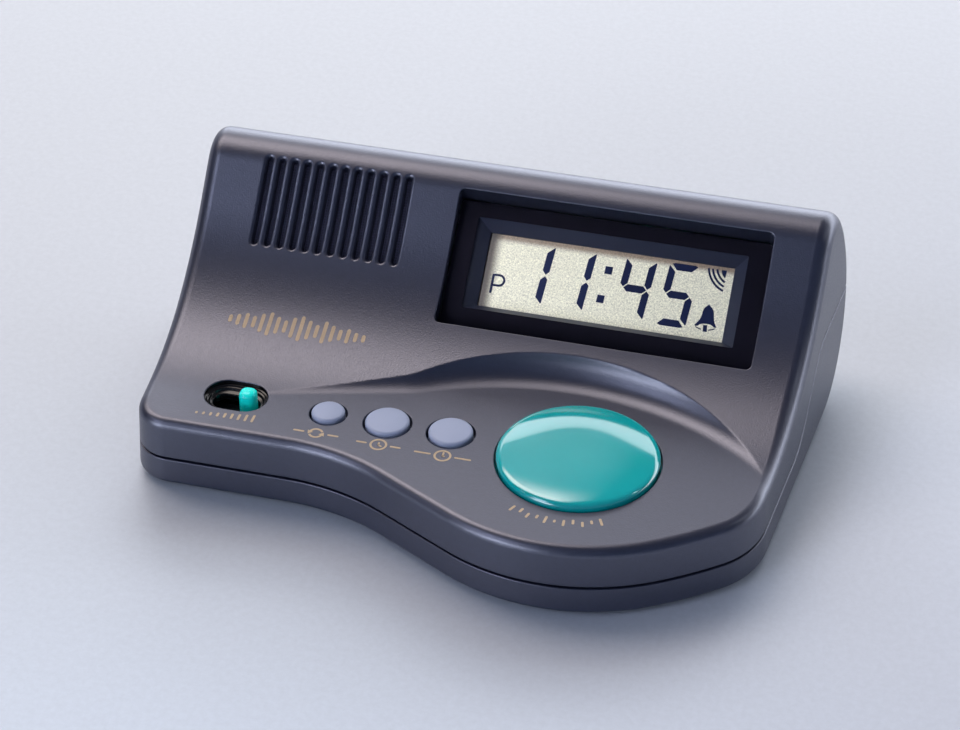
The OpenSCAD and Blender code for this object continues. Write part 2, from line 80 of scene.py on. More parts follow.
def prof(s):
    """Side profile at arc length s: Y, Z and the outward normal."""
    s = np.atleast_1d(np.asarray(s, float))
    Y, Z, NY, NZ = (np.empty_like(s) for _ in range(4))
    m = s < 0
    Y[m], Z[m], NY[m], NZ[m] = SY + s[m], DECK, 0, 1
    m = (s >= 0) & (s < S1)
    a = s[m] / SR
    Y[m], Z[m], NY[m], NZ[m] = SC[0] + SR * np.sin(a), SC[1] - SR * np.cos(a), -np.sin(a), np.cos(a)
    m = (s >= S1) & (s < S2)
    q = s[m] - S1
    Y[m], Z[m], NY[m], NZ[m] = SE[0] + q * math.cos(FA), SE[1] + q * math.sin(FA), -math.sin(FA), math.cos(FA)
    m = (s >= S2) & (s < S3)
    a = math.pi / 2 + FA - (s[m] - S2) / RR
    Y[m], Z[m], NY[m], NZ[m] = RC[0] + RR * np.cos(a), RC[1] + RR * np.sin(a), np.cos(a), np.sin(a)
    m = (s >= S3) & (s < S4)
    a = RA - (s[m] - S3) / RB
    Y[m], Z[m], NY[m], NZ[m] = BC[0] + RB * np.cos(a), BC[1] + RB * np.sin(a), np.cos(a), np.sin(a)
    m = (s >= S4) & (s < S5)
    a = -(s[m] - S4) / TR
    Y[m], Z[m], NY[m], NZ[m] = TC[0] + TR * np.cos(a), TC[1] + TR * np.sin(a), np.cos(a), np.sin(a)
    m = s >= S5
    Y[m], Z[m], NY[m], NZ[m] = TC[0] - (s[m] - S5), 0, 0, -1
    return Y, Z, NY, NZ


def ease(q):
    q = np.clip(q, 0, 1)
    return q * q * (3 - 2 * q)


def joint_z(y):
    return 6.3 + 13.2 * ease((np.asarray(y, float) - 2) / 24)


def left_of(h):
    return np.array([-math.sin(h), math.cos(h)])


def along(h):
    return np.array([math.cos(h), math.sin(h)])


rad = math.radians
WH = rad(86)
CORNER_C = np.array([-62.55 + 8 - 0.02, -28.7 + 8])
HOLLOW_C = np.array([-30.45, -28.7]) - 44 * left_of(0)
SLANT_P = HOLLOW_C + 44 * left_of(rad(-28))
ROUND_P = SLANT_P + 17 * along(rad(-28))
ROUND_C = ROUND_P + 40 * left_of(rad(-28))
FLANK_P = ROUND_C - 40 * left_of(rad(31))
FLANK_C = FLANK_P + 80 * left_of(rad(31))
NOSE_P = FLANK_C - 80 * left_of(rad(41.3))
NOSE_C = NOSE_P + 18 * left_of(rad(41.3))
LEFT_P = CORNER_C - 8 * left_of(-WH)
RIGHT_P = NOSE_C - 18 * left_of(WH)


def wall_x(side, y, z):
    p = RIGHT_P if side > 0 else LEFT_P
    return side * (abs(p[0]) + (np.asarray(y, float) - p[1]) * TAN4 - np.asarray(z, float) * TAN3)


def front_stations(step):
    """Plan outline from the left wall round the front to the right wall: point, inward normal, draft share."""
    out = []

    def turn(c, r, h0, h1, sign, w0, w1):
        n = max(2, int(round(abs(r * (h1 - h0)) / step)))
        for i in range(n + 1):
            h = h0 + (h1 - h0) * i / n
            w = w0 + (w1 - w0) * float(ease(i / n))
            out.append((c - sign * r * left_of(h), left_of(h), w))

    def line(a, b, h):
        n = max(1, int(round(np.linalg.norm(b - a) / step)))
        for i in range(1, n):
            out.append((a + (b - a) * i / n, left_of(h), 0.0))

    turn(CORNER_C, 8, -WH, 0, 1, 1, 0)
    line(np.array([CORNER_C[0], -28.7]), np.array([-30.45, -28.7]), 0)
    turn(HOLLOW_C, 44, 0, rad(-28), -1, 0, 0)
    line(SLANT_P, ROUND_P, rad(-28))
    turn(ROUND_C, 40, rad(-28), rad(31), 1, 0, 0)
    out.pop()
    turn(FLANK_C, 80, rad(31), rad(41.3), 1, 0, 0)
    out.pop()
    turn(NOSE_C, 18, rad(41.3), WH, 1, 0, 1)
    return out


PAD_C, PAD_R, PAD_COVE = np.array([19.2, -59.7]), 59.4, 5.6


def aside(th):
    return np.array([math.sin(rad(th)), math.cos(rad(th))])


# left end of the foot line: it turns outward at TAIL_J round TAIL_C and runs out straight from TAIL_E
TAIL_A, TAIL_B, TAIL_R = -27.0, -15.5, 25.0
TAIL_J = PAD_C + PAD_R * aside(TAIL_A)
TAIL_C = TAIL_J + TAIL_R * aside(TAIL_A)
TAIL_E = TAIL_C - TAIL_R * aside(TAIL_B)


def pad_q(x, y):
    """Distance beyond the foot line of the pad."""
    q = np.hypot(x - PAD_C[0], y - PAD_C[1]) - PAD_R
    a, b = aside(TAIL_A), aside(TAIL_B)
    past_j = -(x - TAIL_J[0]) * a[1] + (y - TAIL_J[1]) * a[0] > 0
    past_e = -(x - TAIL_E[0]) * b[1] + (y - TAIL_E[1]) * b[0] > 0
    q = np.where(past_j, TAIL_R - np.hypot(x - TAIL_C[0], y - TAIL_C[1]), q)
    return np.where(past_e, (x - TAIL_E[0]) * b[0] + (y - TAIL_E[1]) * b[1], q)


def cove(q, grow=0.0):
    """Height of the hollow wall round the pad at distance q beyond its foot."""
    rc = PAD_COVE + grow
    edge = rc * math.sin(rad(80))
    f = np.clip(q, 0, edge)
    h = rc - np.sqrt(rc * rc - f * f)
    return h + np.maximum(q - edge, 0) * math.tan(rad(80))


def pad_height(x, y, hs, grow=0.0, power=26.0):
    """Height above the deck after the round pad is scooped out of a surface of height hs."""
    hc = cove(pad_q(x, y), grow)
    lo = np.minimum(hs, hc)
    hi = np.maximum(np.maximum(hs, hc), 1e-9)
    ratio = np.clip(lo / hi, 0, 1)
    return np.where(lo <= 1e-9, 0.0, lo * (1 + ratio ** power) ** (-1 / power))


def top_point(x, s):
    Y, Z, NY, NZ = prof(s)
    z = Z.copy()
    m = (s > 0) & (s < 45)
    z[m] = DECK + pad_height(x[m], Y[m], Z[m] - DECK)
    return np.stack([x, Y, z], 1)


def top_inner(x, s, t):
    Y, Z, NY, NZ = prof(s)
    y, z = Y - t * NY, Z - t * NZ
    m = (s > 0) & (s < 45)
    z[m] = DECK - t + pad_height(x[m], y[m], z[m] - DECK + t, grow=t, power=8.0)
    return np.stack([x, y, z], 1)


def base_point(x, s):
    Y, Z, NY, NZ = prof(s)
    return np.stack([x, Y, Z], 1)


def base_inner(x, s, t):
    Y, Z, NY, NZ = prof(s)
    return np.stack([x, Y - t * NY, Z - t * NZ], 1)


def normals(fn, x, s):
    e = 0.02
    a = fn(x + e, s) - fn(x - e, s)
    b = fn(x, s + e) - fn(x, s - e)
    n = np.cross(a, b)
    return n / np.linalg.norm(n, axis=1)[:, None]


# ---------------------------------------------------------------- small mesh tools
def inside(poly, pts):
    x, y = pts[:, 0], pts[:, 1]
    res = np.zeros(len(pts), bool)
    a, b = poly, np.roll(poly, -1, 0)
    for (x0, y0), (x1, y1) in zip(a, b):
        if y0 == y1:
            continue
        m = (y0 > y) != (y1 > y)
        res ^= m & (x < (x1 - x0) * (y - y0) / (y1 - y0) + x0)
    return res


def far_from(loop, pts, d, closed=True):
    a = loop if closed else loop[:-1]
    b = np.roll(loop, -1, 0) if closed else loop[1:]
    ok = np.ones(len(pts), bool)
    for p, q in zip(a, b):
        v = q - p
        l2 = max(float(v @ v), 1e-12)
        t = np.clip(((pts - p) @ v) / l2, 0, 1)
        ok &= np.hypot(*(pts - p - t[:, None] * v).T) > d
    return ok


def fill(loops, pts):
    """Triangles between the first loop and the others. Vertices: loops in order, then pts."""
    allp = np.concatenate(list(loops) + ([pts] if len(pts) else []))
    edges, k = [], 0
    for lp in loops:
        n = len(lp)
        edges += [(k + i, k + (i + 1) % n) for i in range(n)]
        k += n
    res = delaunay_2d_cdt([Vector((float(p[0]), float(p[1]))) for p in allp], edges, [], 0, 1e-9, True)
    back = [o[0] if o else -1 for o in res[3]]
    if any(b < 0 for b in back) or len(back) != len(allp):
        print("fill: vertex count changed", len(allp), len(back), sum(b < 0 for b in back))
    tri = np.array([[back[i] for i in f] for f in res[2] if len(f) == 3 and all(back[i] >= 0 for i in f)])
    c = allp[tri].mean(1)
    keep = inside(loops[0], c)
    for lp in loops[1:]:
        keep &= ~inside(lp, c)
    return tri[keep]


def grow(loop, d):
    """Move a closed counter-clockwise loop outwards by d."""
    t = np.roll(loop, -1, 0) - np.roll(loop, 1, 0)
    t /= np.linalg.norm(t, axis=1)[:, None]
    return loop + d * np.stack([t[:, 1], -t[:, 0]], 1)


def circle(cx, cy, r, n):
    a = np.arange(n) * 2 * np.pi / n
    return np.stack([cx + r * np.cos(a), cy + r * np.sin(a)], 1)


def round_rect(x0, y0, x1, y1, r, n=5, step=2.0):
    pts = []
    cs = [(x1 - r, y0 + r, -90), (x1 - r, y1 - r, 0), (x0 + r, y1 - r, 90), (x0 + r, y0 + r, 180)]
    for cx, cy, a0 in cs:
        for i in range(n + 1):
            a = rad(a0 + 90 * i / n)
            pts.append((cx + r * math.cos(a), cy + r * math.sin(a)))
    return refine(np.array(pts), step)


def refine(loop, step):
    out = []
    for p, q in zip(loop, np.roll(loop, -1, 0)):
        n = max(1, int(math.ceil(np.linalg.norm(q - p) / step)))
        out += [p + (q - p) * i / n for i in range(n)]
    return np.array(out)


def stadium(cx, cy, l, w, n=10, step=1.5, upright=False):
    h = (l - w) / 2
    pts = [(h + w / 2 * math.cos(rad(-90 + 180 * i / n)), w / 2 * math.sin(rad(-90 + 180 * i / n))) for i in range(n + 1)]
    pts += [(-h + w / 2 * math.cos(rad(90 + 180 * i / n)), w / 2 * math.sin(rad(90 + 180 * i / n))) for i in range(n + 1)]
    p = refine(np.array(pts), step)
    if upright:
        p = np.stack([-p[:, 1], p[:, 0]], 1)
    return p + np.array([cx, cy])


class Build:
    def __init__(self):
        self.v, self.n, self.f, self.m, self.k, self.fix = [], [], [], [], 0, {}

    def add(self, p, n):
        p = np.atleast_2d(np.asarray(p, float))
        n = np.broadcast_to(np.asarray(n, float), p.shape)
        self.v.append(p)
        self.n.append(n)
        i = np.arange(self.k, self.k + len(p))
        self.k += len(p)
        return i

    def face(self, idx, mat=0):
        idx = [int(i) for i in idx]
        idx = [a for j, a in enumerate(idx) if a != idx[j - 1]]
        if len(idx) >= 3:
            self.f.append(idx)
            self.m.append(mat)

    def strip(self, a, b, closed=False, mat=0):
        n = len(a)
        for i in range(n if closed else n - 1):
            j = (i + 1) % n
            self.face((a[i], a[j], b[j], b[i]), mat)

    def make(self, name, mats, body, smooth=True, normals_set=True):
        v = np.concatenate(self.v)
        for i, z in self.fix.items():
            v[i, 2] = z
        v = v * MM
        v[:, 2] += FOOT * MM
        v = np.clip(v, np.array(CAD_BOX[0]), np.array(CAD_BOX[1]))
        n = np.concatenate(self.n)
        n = n / np.maximum(np.linalg.norm(n, axis=1), 1e-9)[:, None]
        me = bpy.data.meshes.new(name)
        me.from_pydata(v.tolist(), [], self.f)
        me.polygons.foreach_set("material_index", self.m)
        bm = bmesh.new()
        bm.from_mesh(me)
        thin = [None]
        while thin:
            thin = [f for f in bm.faces if f.calc_area() < 2e-10 and any(len(e.link_faces) == 1 for e in f.edges)]
            if thin:
                bmesh.ops.delete(bm, geom=thin, context="FACES")
        bmesh.ops.recalc_face_normals(bm, faces=bm.faces)
        open_edges = sum(1 for e in bm.edges if not e.is_manifold)
        if bm.calc_volume(signed=True) < 0:
            bmesh.ops.reverse_faces(bm, faces=bm.faces)
        bm.to_mesh(me)
        bm.free()
        if open_edges:
            print(name, "open edges", open_edges)
        me.update()
        if smooth:
            me.polygons.foreach_set("use_smooth", [True] * len(me.polygons))
            if normals_set:
                me.normals_split_custom_set_from_vertices(n.tolist())
        ob = bpy.data.objects.new(name, me)
        bpy.context.scene.collection.objects.link(ob)
        for m in mats:
            me.materials.append(m)
        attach(ob, body)
        return ob


T = 1.8
K = 8


def shell(name, mats, upper, holes, extra_pts, skip_grid):
    """One shell of the case as a closed skin with rounded edges, holes and a stepped rim."""
    B = Build()
    fn, fin = (top_point, top_inner) if upper else (base_point, base_inner)
    gap, z_round, in_shift = (0.2, 0.28, 1.5) if upper else (-0.2, -0.28, 1.1)
    s_rear = S4 + TR * math.asin((TR - 19.5 - gap - z_round) / TR)
    fronts = front_stations(1.1)
    drop_n = 1.0 if upper else -1.0
    z_flat = DECK if upper else 0.0

    def s_of_y(y):
        return y - SY if upper else S5 + TC[0] - y

    def side_list(y0):
        s0 = s_of_y(y0)
        if upper:
            cuts = [(s0, 2.0), (0, 1.6), (S1, 1.2), (S2, 0.62), (S3, 1.6), (s_rear, 0)]
        else:
            cuts = [(s0, -2.5), (S5, -1.2), (s_rear, 0)]
        out = []
        for (a, st), (b, _) in zip(cuts, cuts[1:]):
            n = max(1, int(math.ceil(abs(b - a) / abs(st))))
            out += [a + (b - a) * i / n for i in range(n)]
        out.append(s_rear)
        return np.array(out)

    def radius_side(s):
        if upper:
            return 2.0 + 1.0 * ease((s + 2) / 26)
        return 1.2 + 1.8 * ease((S5 - s) / (S5 - s_rear))

    r_front = 2.0 if upper else 1.2
    # stations in order: left side from the rear to the front, front, right side to the rear
    st = []
    left_s, right_s = side_list(LEFT_P[1]), side_list(RIGHT_P[1])
    for s in left_s[:0:-1]:
        st.append(("side", -1, s, float(radius_side(s))))
    for p, n, w in fronts:
        st.append(("front", p, n, w, r_front))
    for s in right_s[1:]:
        st.append(("side", 1, s, float(radius_side(s))))
    n_left, n_front, n_right = len(left_s) - 1, len(fronts), len(right_s) - 1

    def at(stn, d, drop):
        if stn[0] == "front":
            _, p, n, w, r = stn
            z = z_flat - drop_n * drop
            q = p + n * (w * z * TAN3 + d)
            return np.array([q[0], q[1], z])
        _, side, s, r = stn
        Y, Z, NY, NZ = (float(v[0]) for v in prof(s))
        y, z = Y - drop * NY, Z - drop * NZ
        return np.array([float(wall_x(side, y, z)) - side * d, y, z])

    def out_n(stn):
        if stn[0] == "front":
            return np.array([-stn[2][0], -stn[2][1], 0.0])
        c4, s4 = math.cos(rad(4)), math.sin(rad(4))
        v = np.array([stn[1] * c4, -s4, TAN3])
        return v / np.linalg.norm(v)

    def top_n(stn):
        if stn[0] == "front":
            return np.array([0, 0, drop_n])
        Y, Z, NY, NZ = prof(stn[2])
        return np.array([0, float(NY[0]), float(NZ[0])])

    rin = [max(q[-1] - T, 0.3) for q in st]
    e_in = [max(q[-1], T + i) + 0.25 for q, i in zip(st, rin)]
    chain = []
    for q, e in zip(st, e_in):
        p = at(q, e, 0)
        chain.append((p[0], (s_of_y(p[1]) if q[0] == "front" else q[2])))
    chain = np.array(chain)
    n_rear = 56
    xr = np.linspace(chain[-1, 0], chain[0, 0], n_rear + 1)[1:-1]
    rear = np.stack([xr, np.full(len(xr), s_rear)], 1)
    outer = np.concatenate([chain, rear])
    # holes: (loop, rim radius, depth or bottom function, material of the wall)
    hole_loops = [grow(h["loop"], h["rim"]) for h in holes]
    # inner points
    if upper:
        rows = np.concatenate([np.arange(-30, 0, 2.0), np.arange(0, S1, 1.7), np.arange(S1, S2, 1.4), np.arange(S2, S3, 0.62), np.arange(S3, s_rear - 2.6, 1.7)])
    else:
        rows = np.concatenate([np.arange(s_rear + 1.2, S5, 1.4), np.arange(S5, S5 + 75, 3.0)])
    step = 2.2 if upper else 3.0
    g = np.array([(x + (step / 2 if i % 2 else 0), s) for i, s in enumerate(rows) for x in np.arange(-66, 67, step)])
    g = g[inside(outer, g)]
    if skip_grid is not None:
        g = g[~skip_grid(g)]
    g = g[far_from(outer, g, 0.8)]
    if len(extra_pts):
        e = extra_pts[inside(outer, extra_pts)]
        e = e[far_from(outer, e, 0.35)]
        g = np.concatenate([g, e])
    for lp, h in zip(hole_loops, holes):
        lo, hi = lp.min(0) - 2, lp.max(0) + 2
        near = ((g > lo) & (g < hi)).all(1)
        bad = np.zeros(len(g), bool)
        idx = np.where(near)[0]
        if len(idx):
            sub = g[idx]
            bad[idx] = inside(lp, sub) | ~far_from(lp, sub, min(0.45, h["rim"] + 0.1))
        g = g[~bad]
    tri = fill([outer] + hole_loops, g)
    dom = np.concatenate([outer] + hole_loops + [g])
    P = fn(dom[:, 0], dom[:, 1])
    N = normals(fn, dom[:, 0], dom[:, 1])
    sgn = np.sign((N * np.stack([np.zeros(len(dom)), prof(dom[:, 1])[2], prof(dom[:, 1])[3]], 1)).sum(1))
    N *= sgn[:, None]
    io = B.add(P, N)
    ii = B.add(fin(dom[:, 0], dom[:, 1], T), -N)
    for t in tri:
        B.face(io[t])
        B.face(ii[t][::-1])
    nc = len(chain)
    co, ci = io[:nc], ii[:nc]
    # rounded edge loops
    prev_o, prev_i = co, ci
    for k in range(K + 1):
        ph = math.pi / 2 * k / K
        po, no, pi, ni = [], [], [], []
        for q, ri in zip(st, rin):
            r = q[-1]
            nn = math.cos(ph) * top_n(q) + math.sin(ph) * out_n(q)
            po.append(at(q, r * (1 - math.sin(ph)), r * (1 - math.cos(ph))))
            no.append(nn)
            pi.append(at(q, T + ri * (1 - math.sin(ph)), T + ri * (1 - math.cos(ph))))
            ni.append(-nn)
        lo, li = B.add(po, no), B.add(pi, ni)
        B.strip(prev_o, lo)
        B.strip(prev_i, li)
        prev_o, prev_i = lo, li
        if k == 0:
            all_o, all_i = [], []
        all_o.append(lo)
        all_i.append(li)
    end_o, end_i = prev_o, prev_i
    # front wall strips
    R = 5
    fr = st[n_left:n_left + n_front]
    cols_o, cols_i = [end_o[n_left:n_left + n_front]], [end_i[n_left:n_left + n_front]]
    for k in range(1, R + 1):
        po, no, pi = [], [], []
        for q in fr:
            _, p, n, w, r = q
            zj = float(joint_z(p[1])) + gap
            za, zb = z_flat - drop_n * r, zj + z_round
            z = za + (zb - za) * k / R
            po.append([*(p + n * (w * z * TAN3)), z])
            no.append(out_n(q))
            ri = max(r - T, 0.3)
            za, zb = z_flat - drop_n * (T + ri), zj + in_shift
            z = za + (zb - za) * k / R
            pi.append([*(p + n * (w * z * TAN3 + T)), z])
        lo, li = B.add(po, no), B.add(pi, -np.array(no))
        B.strip(cols_o[-1], lo)
        B.strip(cols_i[-1], li)
        cols_o.append(lo)
        cols_i.append(li)
    # side walls
    part = {}
    for side in (-1, 1):
        if side < 0:
            top_idx = list(range(n_left, -1, -1))
            col = 0
        else:
            top_idx = list(range(n_left + n_front - 1, len(st)))
            col = n_front - 1
        to, ti = end_o[top_idx], end_i[top_idx]
        V = np.concatenate(B.v)
        tp = V[to][:, 1:]
        y_end, y_beg = tp[-1, 0], float(st[n_left + (0 if side < 0 else n_front - 1)][1][1])
        nb = int(math.ceil((y_end - y_beg) / 1.3))
        ys = y_end + (y_beg - y_end) * np.arange(1, nb) / nb
        zs = joint_z(ys) + gap
        po = np.stack([wall_x(side, ys, zs + z_round), ys, zs + z_round], 1)
        pi = np.stack([wall_x(side, ys, zs + in_shift) - side * T, ys, zs + in_shift], 1)
        on = out_n(("side", side, 0, 0))
        bo, bi = B.add(po, on), B.add(pi, -on)
        colo = [cols_o[k][col] for k in range(R, 0, -1)]
        coli = [cols_i[k][col] for k in range(R, 0, -1)]
        V = np.concatenate(B.v)
        go = np.concatenate([to, bo, colo])
        gi = np.concatenate([ti, bi, coli])
        loop = V[go][:, 1:]
        gg = np.array([(y + (1.6 if i % 2 else 0), z) for i, z in enumerate(np.arange(0, 42, 2.8)) for y in np.arange(-30, 48, 3.2)])
        gg = gg[inside(loop, gg)]
        gg = gg[far_from(loop, gg, 2.3)]
        tr = fill([loop], gg)
        io2 = B.add(np.stack([wall_x(side, gg[:, 0], gg[:, 1]), gg[:, 0], gg[:, 1]], 1), on)
        ii2 = B.add(np.stack([wall_x(side, gg[:, 0], gg[:, 1]) - side * T, gg[:, 0], gg[:, 1]], 1), -on)
        ao, ai = np.concatenate([go, io2]), np.concatenate([gi, ii2])
        for t in tr:
            B.face(ao[t])
            B.face(ai[t][::-1])
        part[side] = (bo, bi)
    # rim along the joint line: closed loop of (outer, inner, horizontal normal)
    lo, li = [], []
    lo += list(cols_o[R])
    li += list(cols_i[R])
    lo += list(part[1][0][::-1])
    li += list(part[1][1][::-1])
    lo += [a[-1] for a in all_o[::-1]]
    li += [a[-1] for a in all_i[::-1]]
    r0 = len(lo)
    lo += [co[-1]] + list(io[nc:len(outer)]) + [co[0]]
    li += [ci[-1]] + list(ii[nc:len(outer)]) + [ci[0]]
    lo += [a[0] for a in all_o]
    li += [a[0] for a in all_i]
    lo += list(part[-1][0])
    li += list(part[-1][1])
    V, NN = np.concatenate(B.v), np.concatenate(B.n)
    p0 = V[lo]
    r0 -= K + 1
    for a, b in zip(lo[r0:r0 + n_rear + 1 + 2 * (K + 1)], li[r0:r0 + n_rear + 1 + 2 * (K + 1)]):
        B.fix[int(b)] = V[a][2] - z_round + in_shift
    nh = NN[lo].copy()
    nh[:, 2] = 0
    nh /= np.linalg.norm(nh, axis=1)[:, None]
    d = -1.0 if upper else 1.0
    dn = np.array([0, 0, d])
    if upper:
        steps = [(0.08, 0.2 * d, 0.7), (0.28, 0.28 * d, 1.0), (0.9, 0.28 * d, 1.0), (0.9, 0.28 * d + 1.5, 0.0)]
    else:
        steps = [(0.08, 0.2 * d, 0.7), (0.28, 0.28 * d, 1.0), (1.05, 0.28 * d, 1.0), (1.05, 0.28 * d + 1.1, 0.0)]
    prev = np.array(lo)
    for ins, dz, bl in steps:
        q = p0 - nh * ins + np.array([0, 0, dz])
        nx = B.add(q, nh * (1 - bl) + dn * bl if bl else nh)
        B.strip(prev, nx, closed=True)
        prev = nx
    B.strip(prev, np.array(li), closed=True)
    # hole rims and walls
    k0 = len(outer)
    for h, lp in zip(holes, hole_loops):
        n = len(lp)
        ro, ri = io[k0:k0 + n], ii[k0:k0 + n]
        k0 += n
        prev = ro
        tang = np.roll(h["loop"], -1, 0) - np.roll(h["loop"], 1, 0)
        tang /= np.linalg.norm(tang, axis=1)[:, None]
        outw = np.stack([tang[:, 1], -tang[:, 0]], 1)
        base = fn(h["loop"][:, 0], h["loop"][:, 1])
        nrm = normals(fn, h["loop"][:, 0], h["loop"][:, 1])
        pr = prof(h["loop"][:, 1])
        nrm *= np.sign((nrm[:, 1] * pr[2] + nrm[:, 2] * pr[3]))[:, None]
        e = 0.05
        hi = fn(h["loop"][:, 0] - e * outw[:, 0], h["loop"][:, 1] - e * outw[:, 1]) - base
        hin = hi / np.linalg.norm(hi, axis=1)[:, None]
        for k in range(1, 5):
            ph = math.pi / 2 * k / 4
            lk = grow(h["loop"], h["rim"] * (1 - math.sin(ph)))
            bp = fn(lk[:, 0], lk[:, 1]) - nrm * (h["rim"] * (1 - math.cos(ph)))
            nx = B.add(bp, nrm * math.cos(ph) + hin * math.sin(ph))
            B.strip(prev, nx, closed=True, mat=h.get("mat", 0) if k > 3 else 0)
            prev = nx
        bottom = h["bottom"](h["loop"]) if callable(h["bottom"]) else base - nrm * h["bottom"]
        nx = B.add(bottom, hin)
        B.strip(prev, nx, closed=True, mat=h.get("mat", 0))
        B.strip(nx, ri, closed=True, mat=h.get("mat", 0))
    return B.make(name, mats, "case")


# ---------------------------------------------------------------- materials
def nodes_of(name):
    m = bpy.data.materials.new(name)
    m.use_nodes = True
    nt = m.node_tree
    nt.nodes.clear()
    out = nt.nodes.new("ShaderNodeOutputMaterial")
    return m, nt, out


def noise(nt, coord, scale, detail=3.0, rough=0.55):
    n = nt.nodes.new("ShaderNodeTexNoise")
    n.inputs["Scale"].default_value = scale
    n.inputs["Detail"].default_value = detail
    n.inputs["Roughness"].default_value = rough
    nt.links.new(coord, n.inputs["Vector"])
    return n.outputs["Fac"]


def ramp(nt, fac, c0, c1, p0=0.3, p1=0.7):
    r = nt.nodes.new("ShaderNodeValToRGB")
    r.color_ramp.elements[0].position = p0
    r.color_ramp.elements[0].color = (*c0, 1)
    r.color_ramp.elements[1].position = p1
    r.color_ramp.elements[1].color = (*c1, 1)
    nt.links.new(fac, r.inputs["Fac"])
    return r.outputs["Color"]


def spread(nt, fac, lo, hi):
    m = nt.nodes.new("ShaderNodeMapRange")
    m.inputs["From Min"].default_value = 0.25
    m.inputs["From Max"].default_value = 0.75
    m.inputs["To Min"].default_value = lo
    m.inputs["To Max"].default_value = hi
    nt.links.new(fac, m.inputs["Value"])
    return m.outputs["Result"]


def plastic(name, col, rough, var=0.08, grain=3200.0, bump=0.25, dist=0.00002, rvar=0.05, patch=60.0, spec=0.5, metal=0.0, coat=0.0, coat_rough=0.1, sss=0.0, sss_r=(0.002, 0.002, 0.002), painted_glow=0.0, sheen=None, ior=1.5):
    m, nt, out = nodes_of(name)
    b = nt.nodes.new("ShaderNodeBsdfPrincipled")
    nt.links.new(b.outputs["BSDF"], out.inputs["Surface"])
    tc = nt.nodes.new("ShaderNodeTexCoord").outputs["Object"]
    lo = tuple(max(0.0, c * (1 - var)) for c in col)
    hi = tuple(c * (1 + var) for c in col)
    tint = ramp(nt, noise(nt, tc, patch, 5.0, 0.65), lo, hi)
    nt.links.new(tint, b.inputs["Base Color"])
    # painted light: the tint is also sent out as emission at this strength, so the part glows though it is no lamp
    if painted_glow > 0:
        nt.links.new(tint, b.inputs["Emission Color"])
        b.inputs["Emission Strength"].default_value = painted_glow
    nt.links.new(spread(nt, noise(nt, tc, patch * 2.3, 4.0), max(0.02, rough - rvar), rough + rvar), b.inputs["Roughness"])
    if bump > 0:
        bn = nt.nodes.new("ShaderNodeBump")
        bn.inputs["Strength"].default_value = bump
        bn.inputs["Distance"].default_value = dist
        nt.links.new(noise(nt, tc, grain, 2.0, 0.5), bn.inputs["Height"])
        nt.links.new(bn.outputs["Normal"], b.inputs["Normal"])
    b.inputs["Metallic"].default_value = metal
    b.inputs["Specular IOR Level"].default_value = spec
    b.inputs["IOR"].default_value = ior
    b.inputs["Coat IOR"].default_value = ior
    if sheen:
        b.inputs["Specular Tint"].default_value = (*sheen, 1)
    b.inputs["Coat Weight"].default_value = coat
    b.inputs["Coat Roughness"].default_value = coat_rough
    if sss > 0:
        b.inputs["Subsurface Weight"].default_value = sss
        b.inputs["Subsurface Radius"].default_value = sss_r
        b.inputs["Subsurface Scale"].default_value = 1.0
    return m


def brushed(name, col, rough, stretch=(40, 2500, 2500), var=0.12):
    m, nt, out = nodes_of(name)
    b = nt.nodes.new("ShaderNodeBsdfPrincipled")
    nt.links.new(b.outputs["BSDF"], out.inputs["Surface"])
    tc = nt.nodes.new("ShaderNodeTexCoord").outputs["Object"]
    mp = nt.nodes.new("ShaderNodeMapping")
    mp.inputs["Scale"].default_value = stretch
    nt.links.new(tc, mp.inputs["Vector"])
    f = noise(nt, mp.outputs["Vector"], 1.0, 4.0)
    nt.links.new(ramp(nt, f, tuple(c * (1 - var) for c in col), tuple(c * (1 + var) for c in col)), b.inputs["Base Color"])
    nt.links.new(spread(nt, f, rough * 0.8, rough * 1.25), b.inputs["Roughness"])
    bn = nt.nodes.new("ShaderNodeBump")
    bn.inputs["Strength"].default_value = 0.15
    bn.inputs["Distance"].default_value = 0.00001
    nt.links.new(f, bn.inputs["Height"])
    nt.links.new(bn.outputs["Normal"], b.inputs["Normal"])
    b.inputs["Metallic"].default_value = 1.0
    return m


def woven(name, col, pitch):
    m, nt, out = nodes_of(name)
    b = nt.nodes.new("ShaderNodeBsdfPrincipled")
    nt.links.new(b.outputs["BSDF"], out.inputs["Surface"])
    tc = nt.nodes.new("ShaderNodeTexCoord").outputs["Object"]
    waves = []
    for ax in ("X", "Y"):
        w = nt.nodes.new("ShaderNodeTexWave")
        w.bands_direction = ax
        w.inputs["Scale"].default_value = 0.314 / pitch
        nt.links.new(tc, w.inputs["Vector"])
        waves.append(w.outputs["Fac"])
    mx = nt.nodes.new("ShaderNodeMath")
    mx.operation = "MAXIMUM"
    nt.links.new(waves[0], mx.inputs[0])
    nt.links.new(waves[1], mx.inputs[1])
    nt.links.new(ramp(nt, mx.outputs[0], tuple(c * 0.3 for c in col), col, 0.2, 0.9), b.inputs["Base Color"])
    bn = nt.nodes.new("ShaderNodeBump")
    bn.inputs["Strength"].default_value = 0.6
    bn.inputs["Distance"].default_value = 0.0001
    nt.links.new(mx.outputs[0], bn.inputs["Height"])
    nt.links.new(bn.outputs["Normal"], b.inputs["Normal"])
    b.inputs["Roughness"].default_value = 0.85
    return m


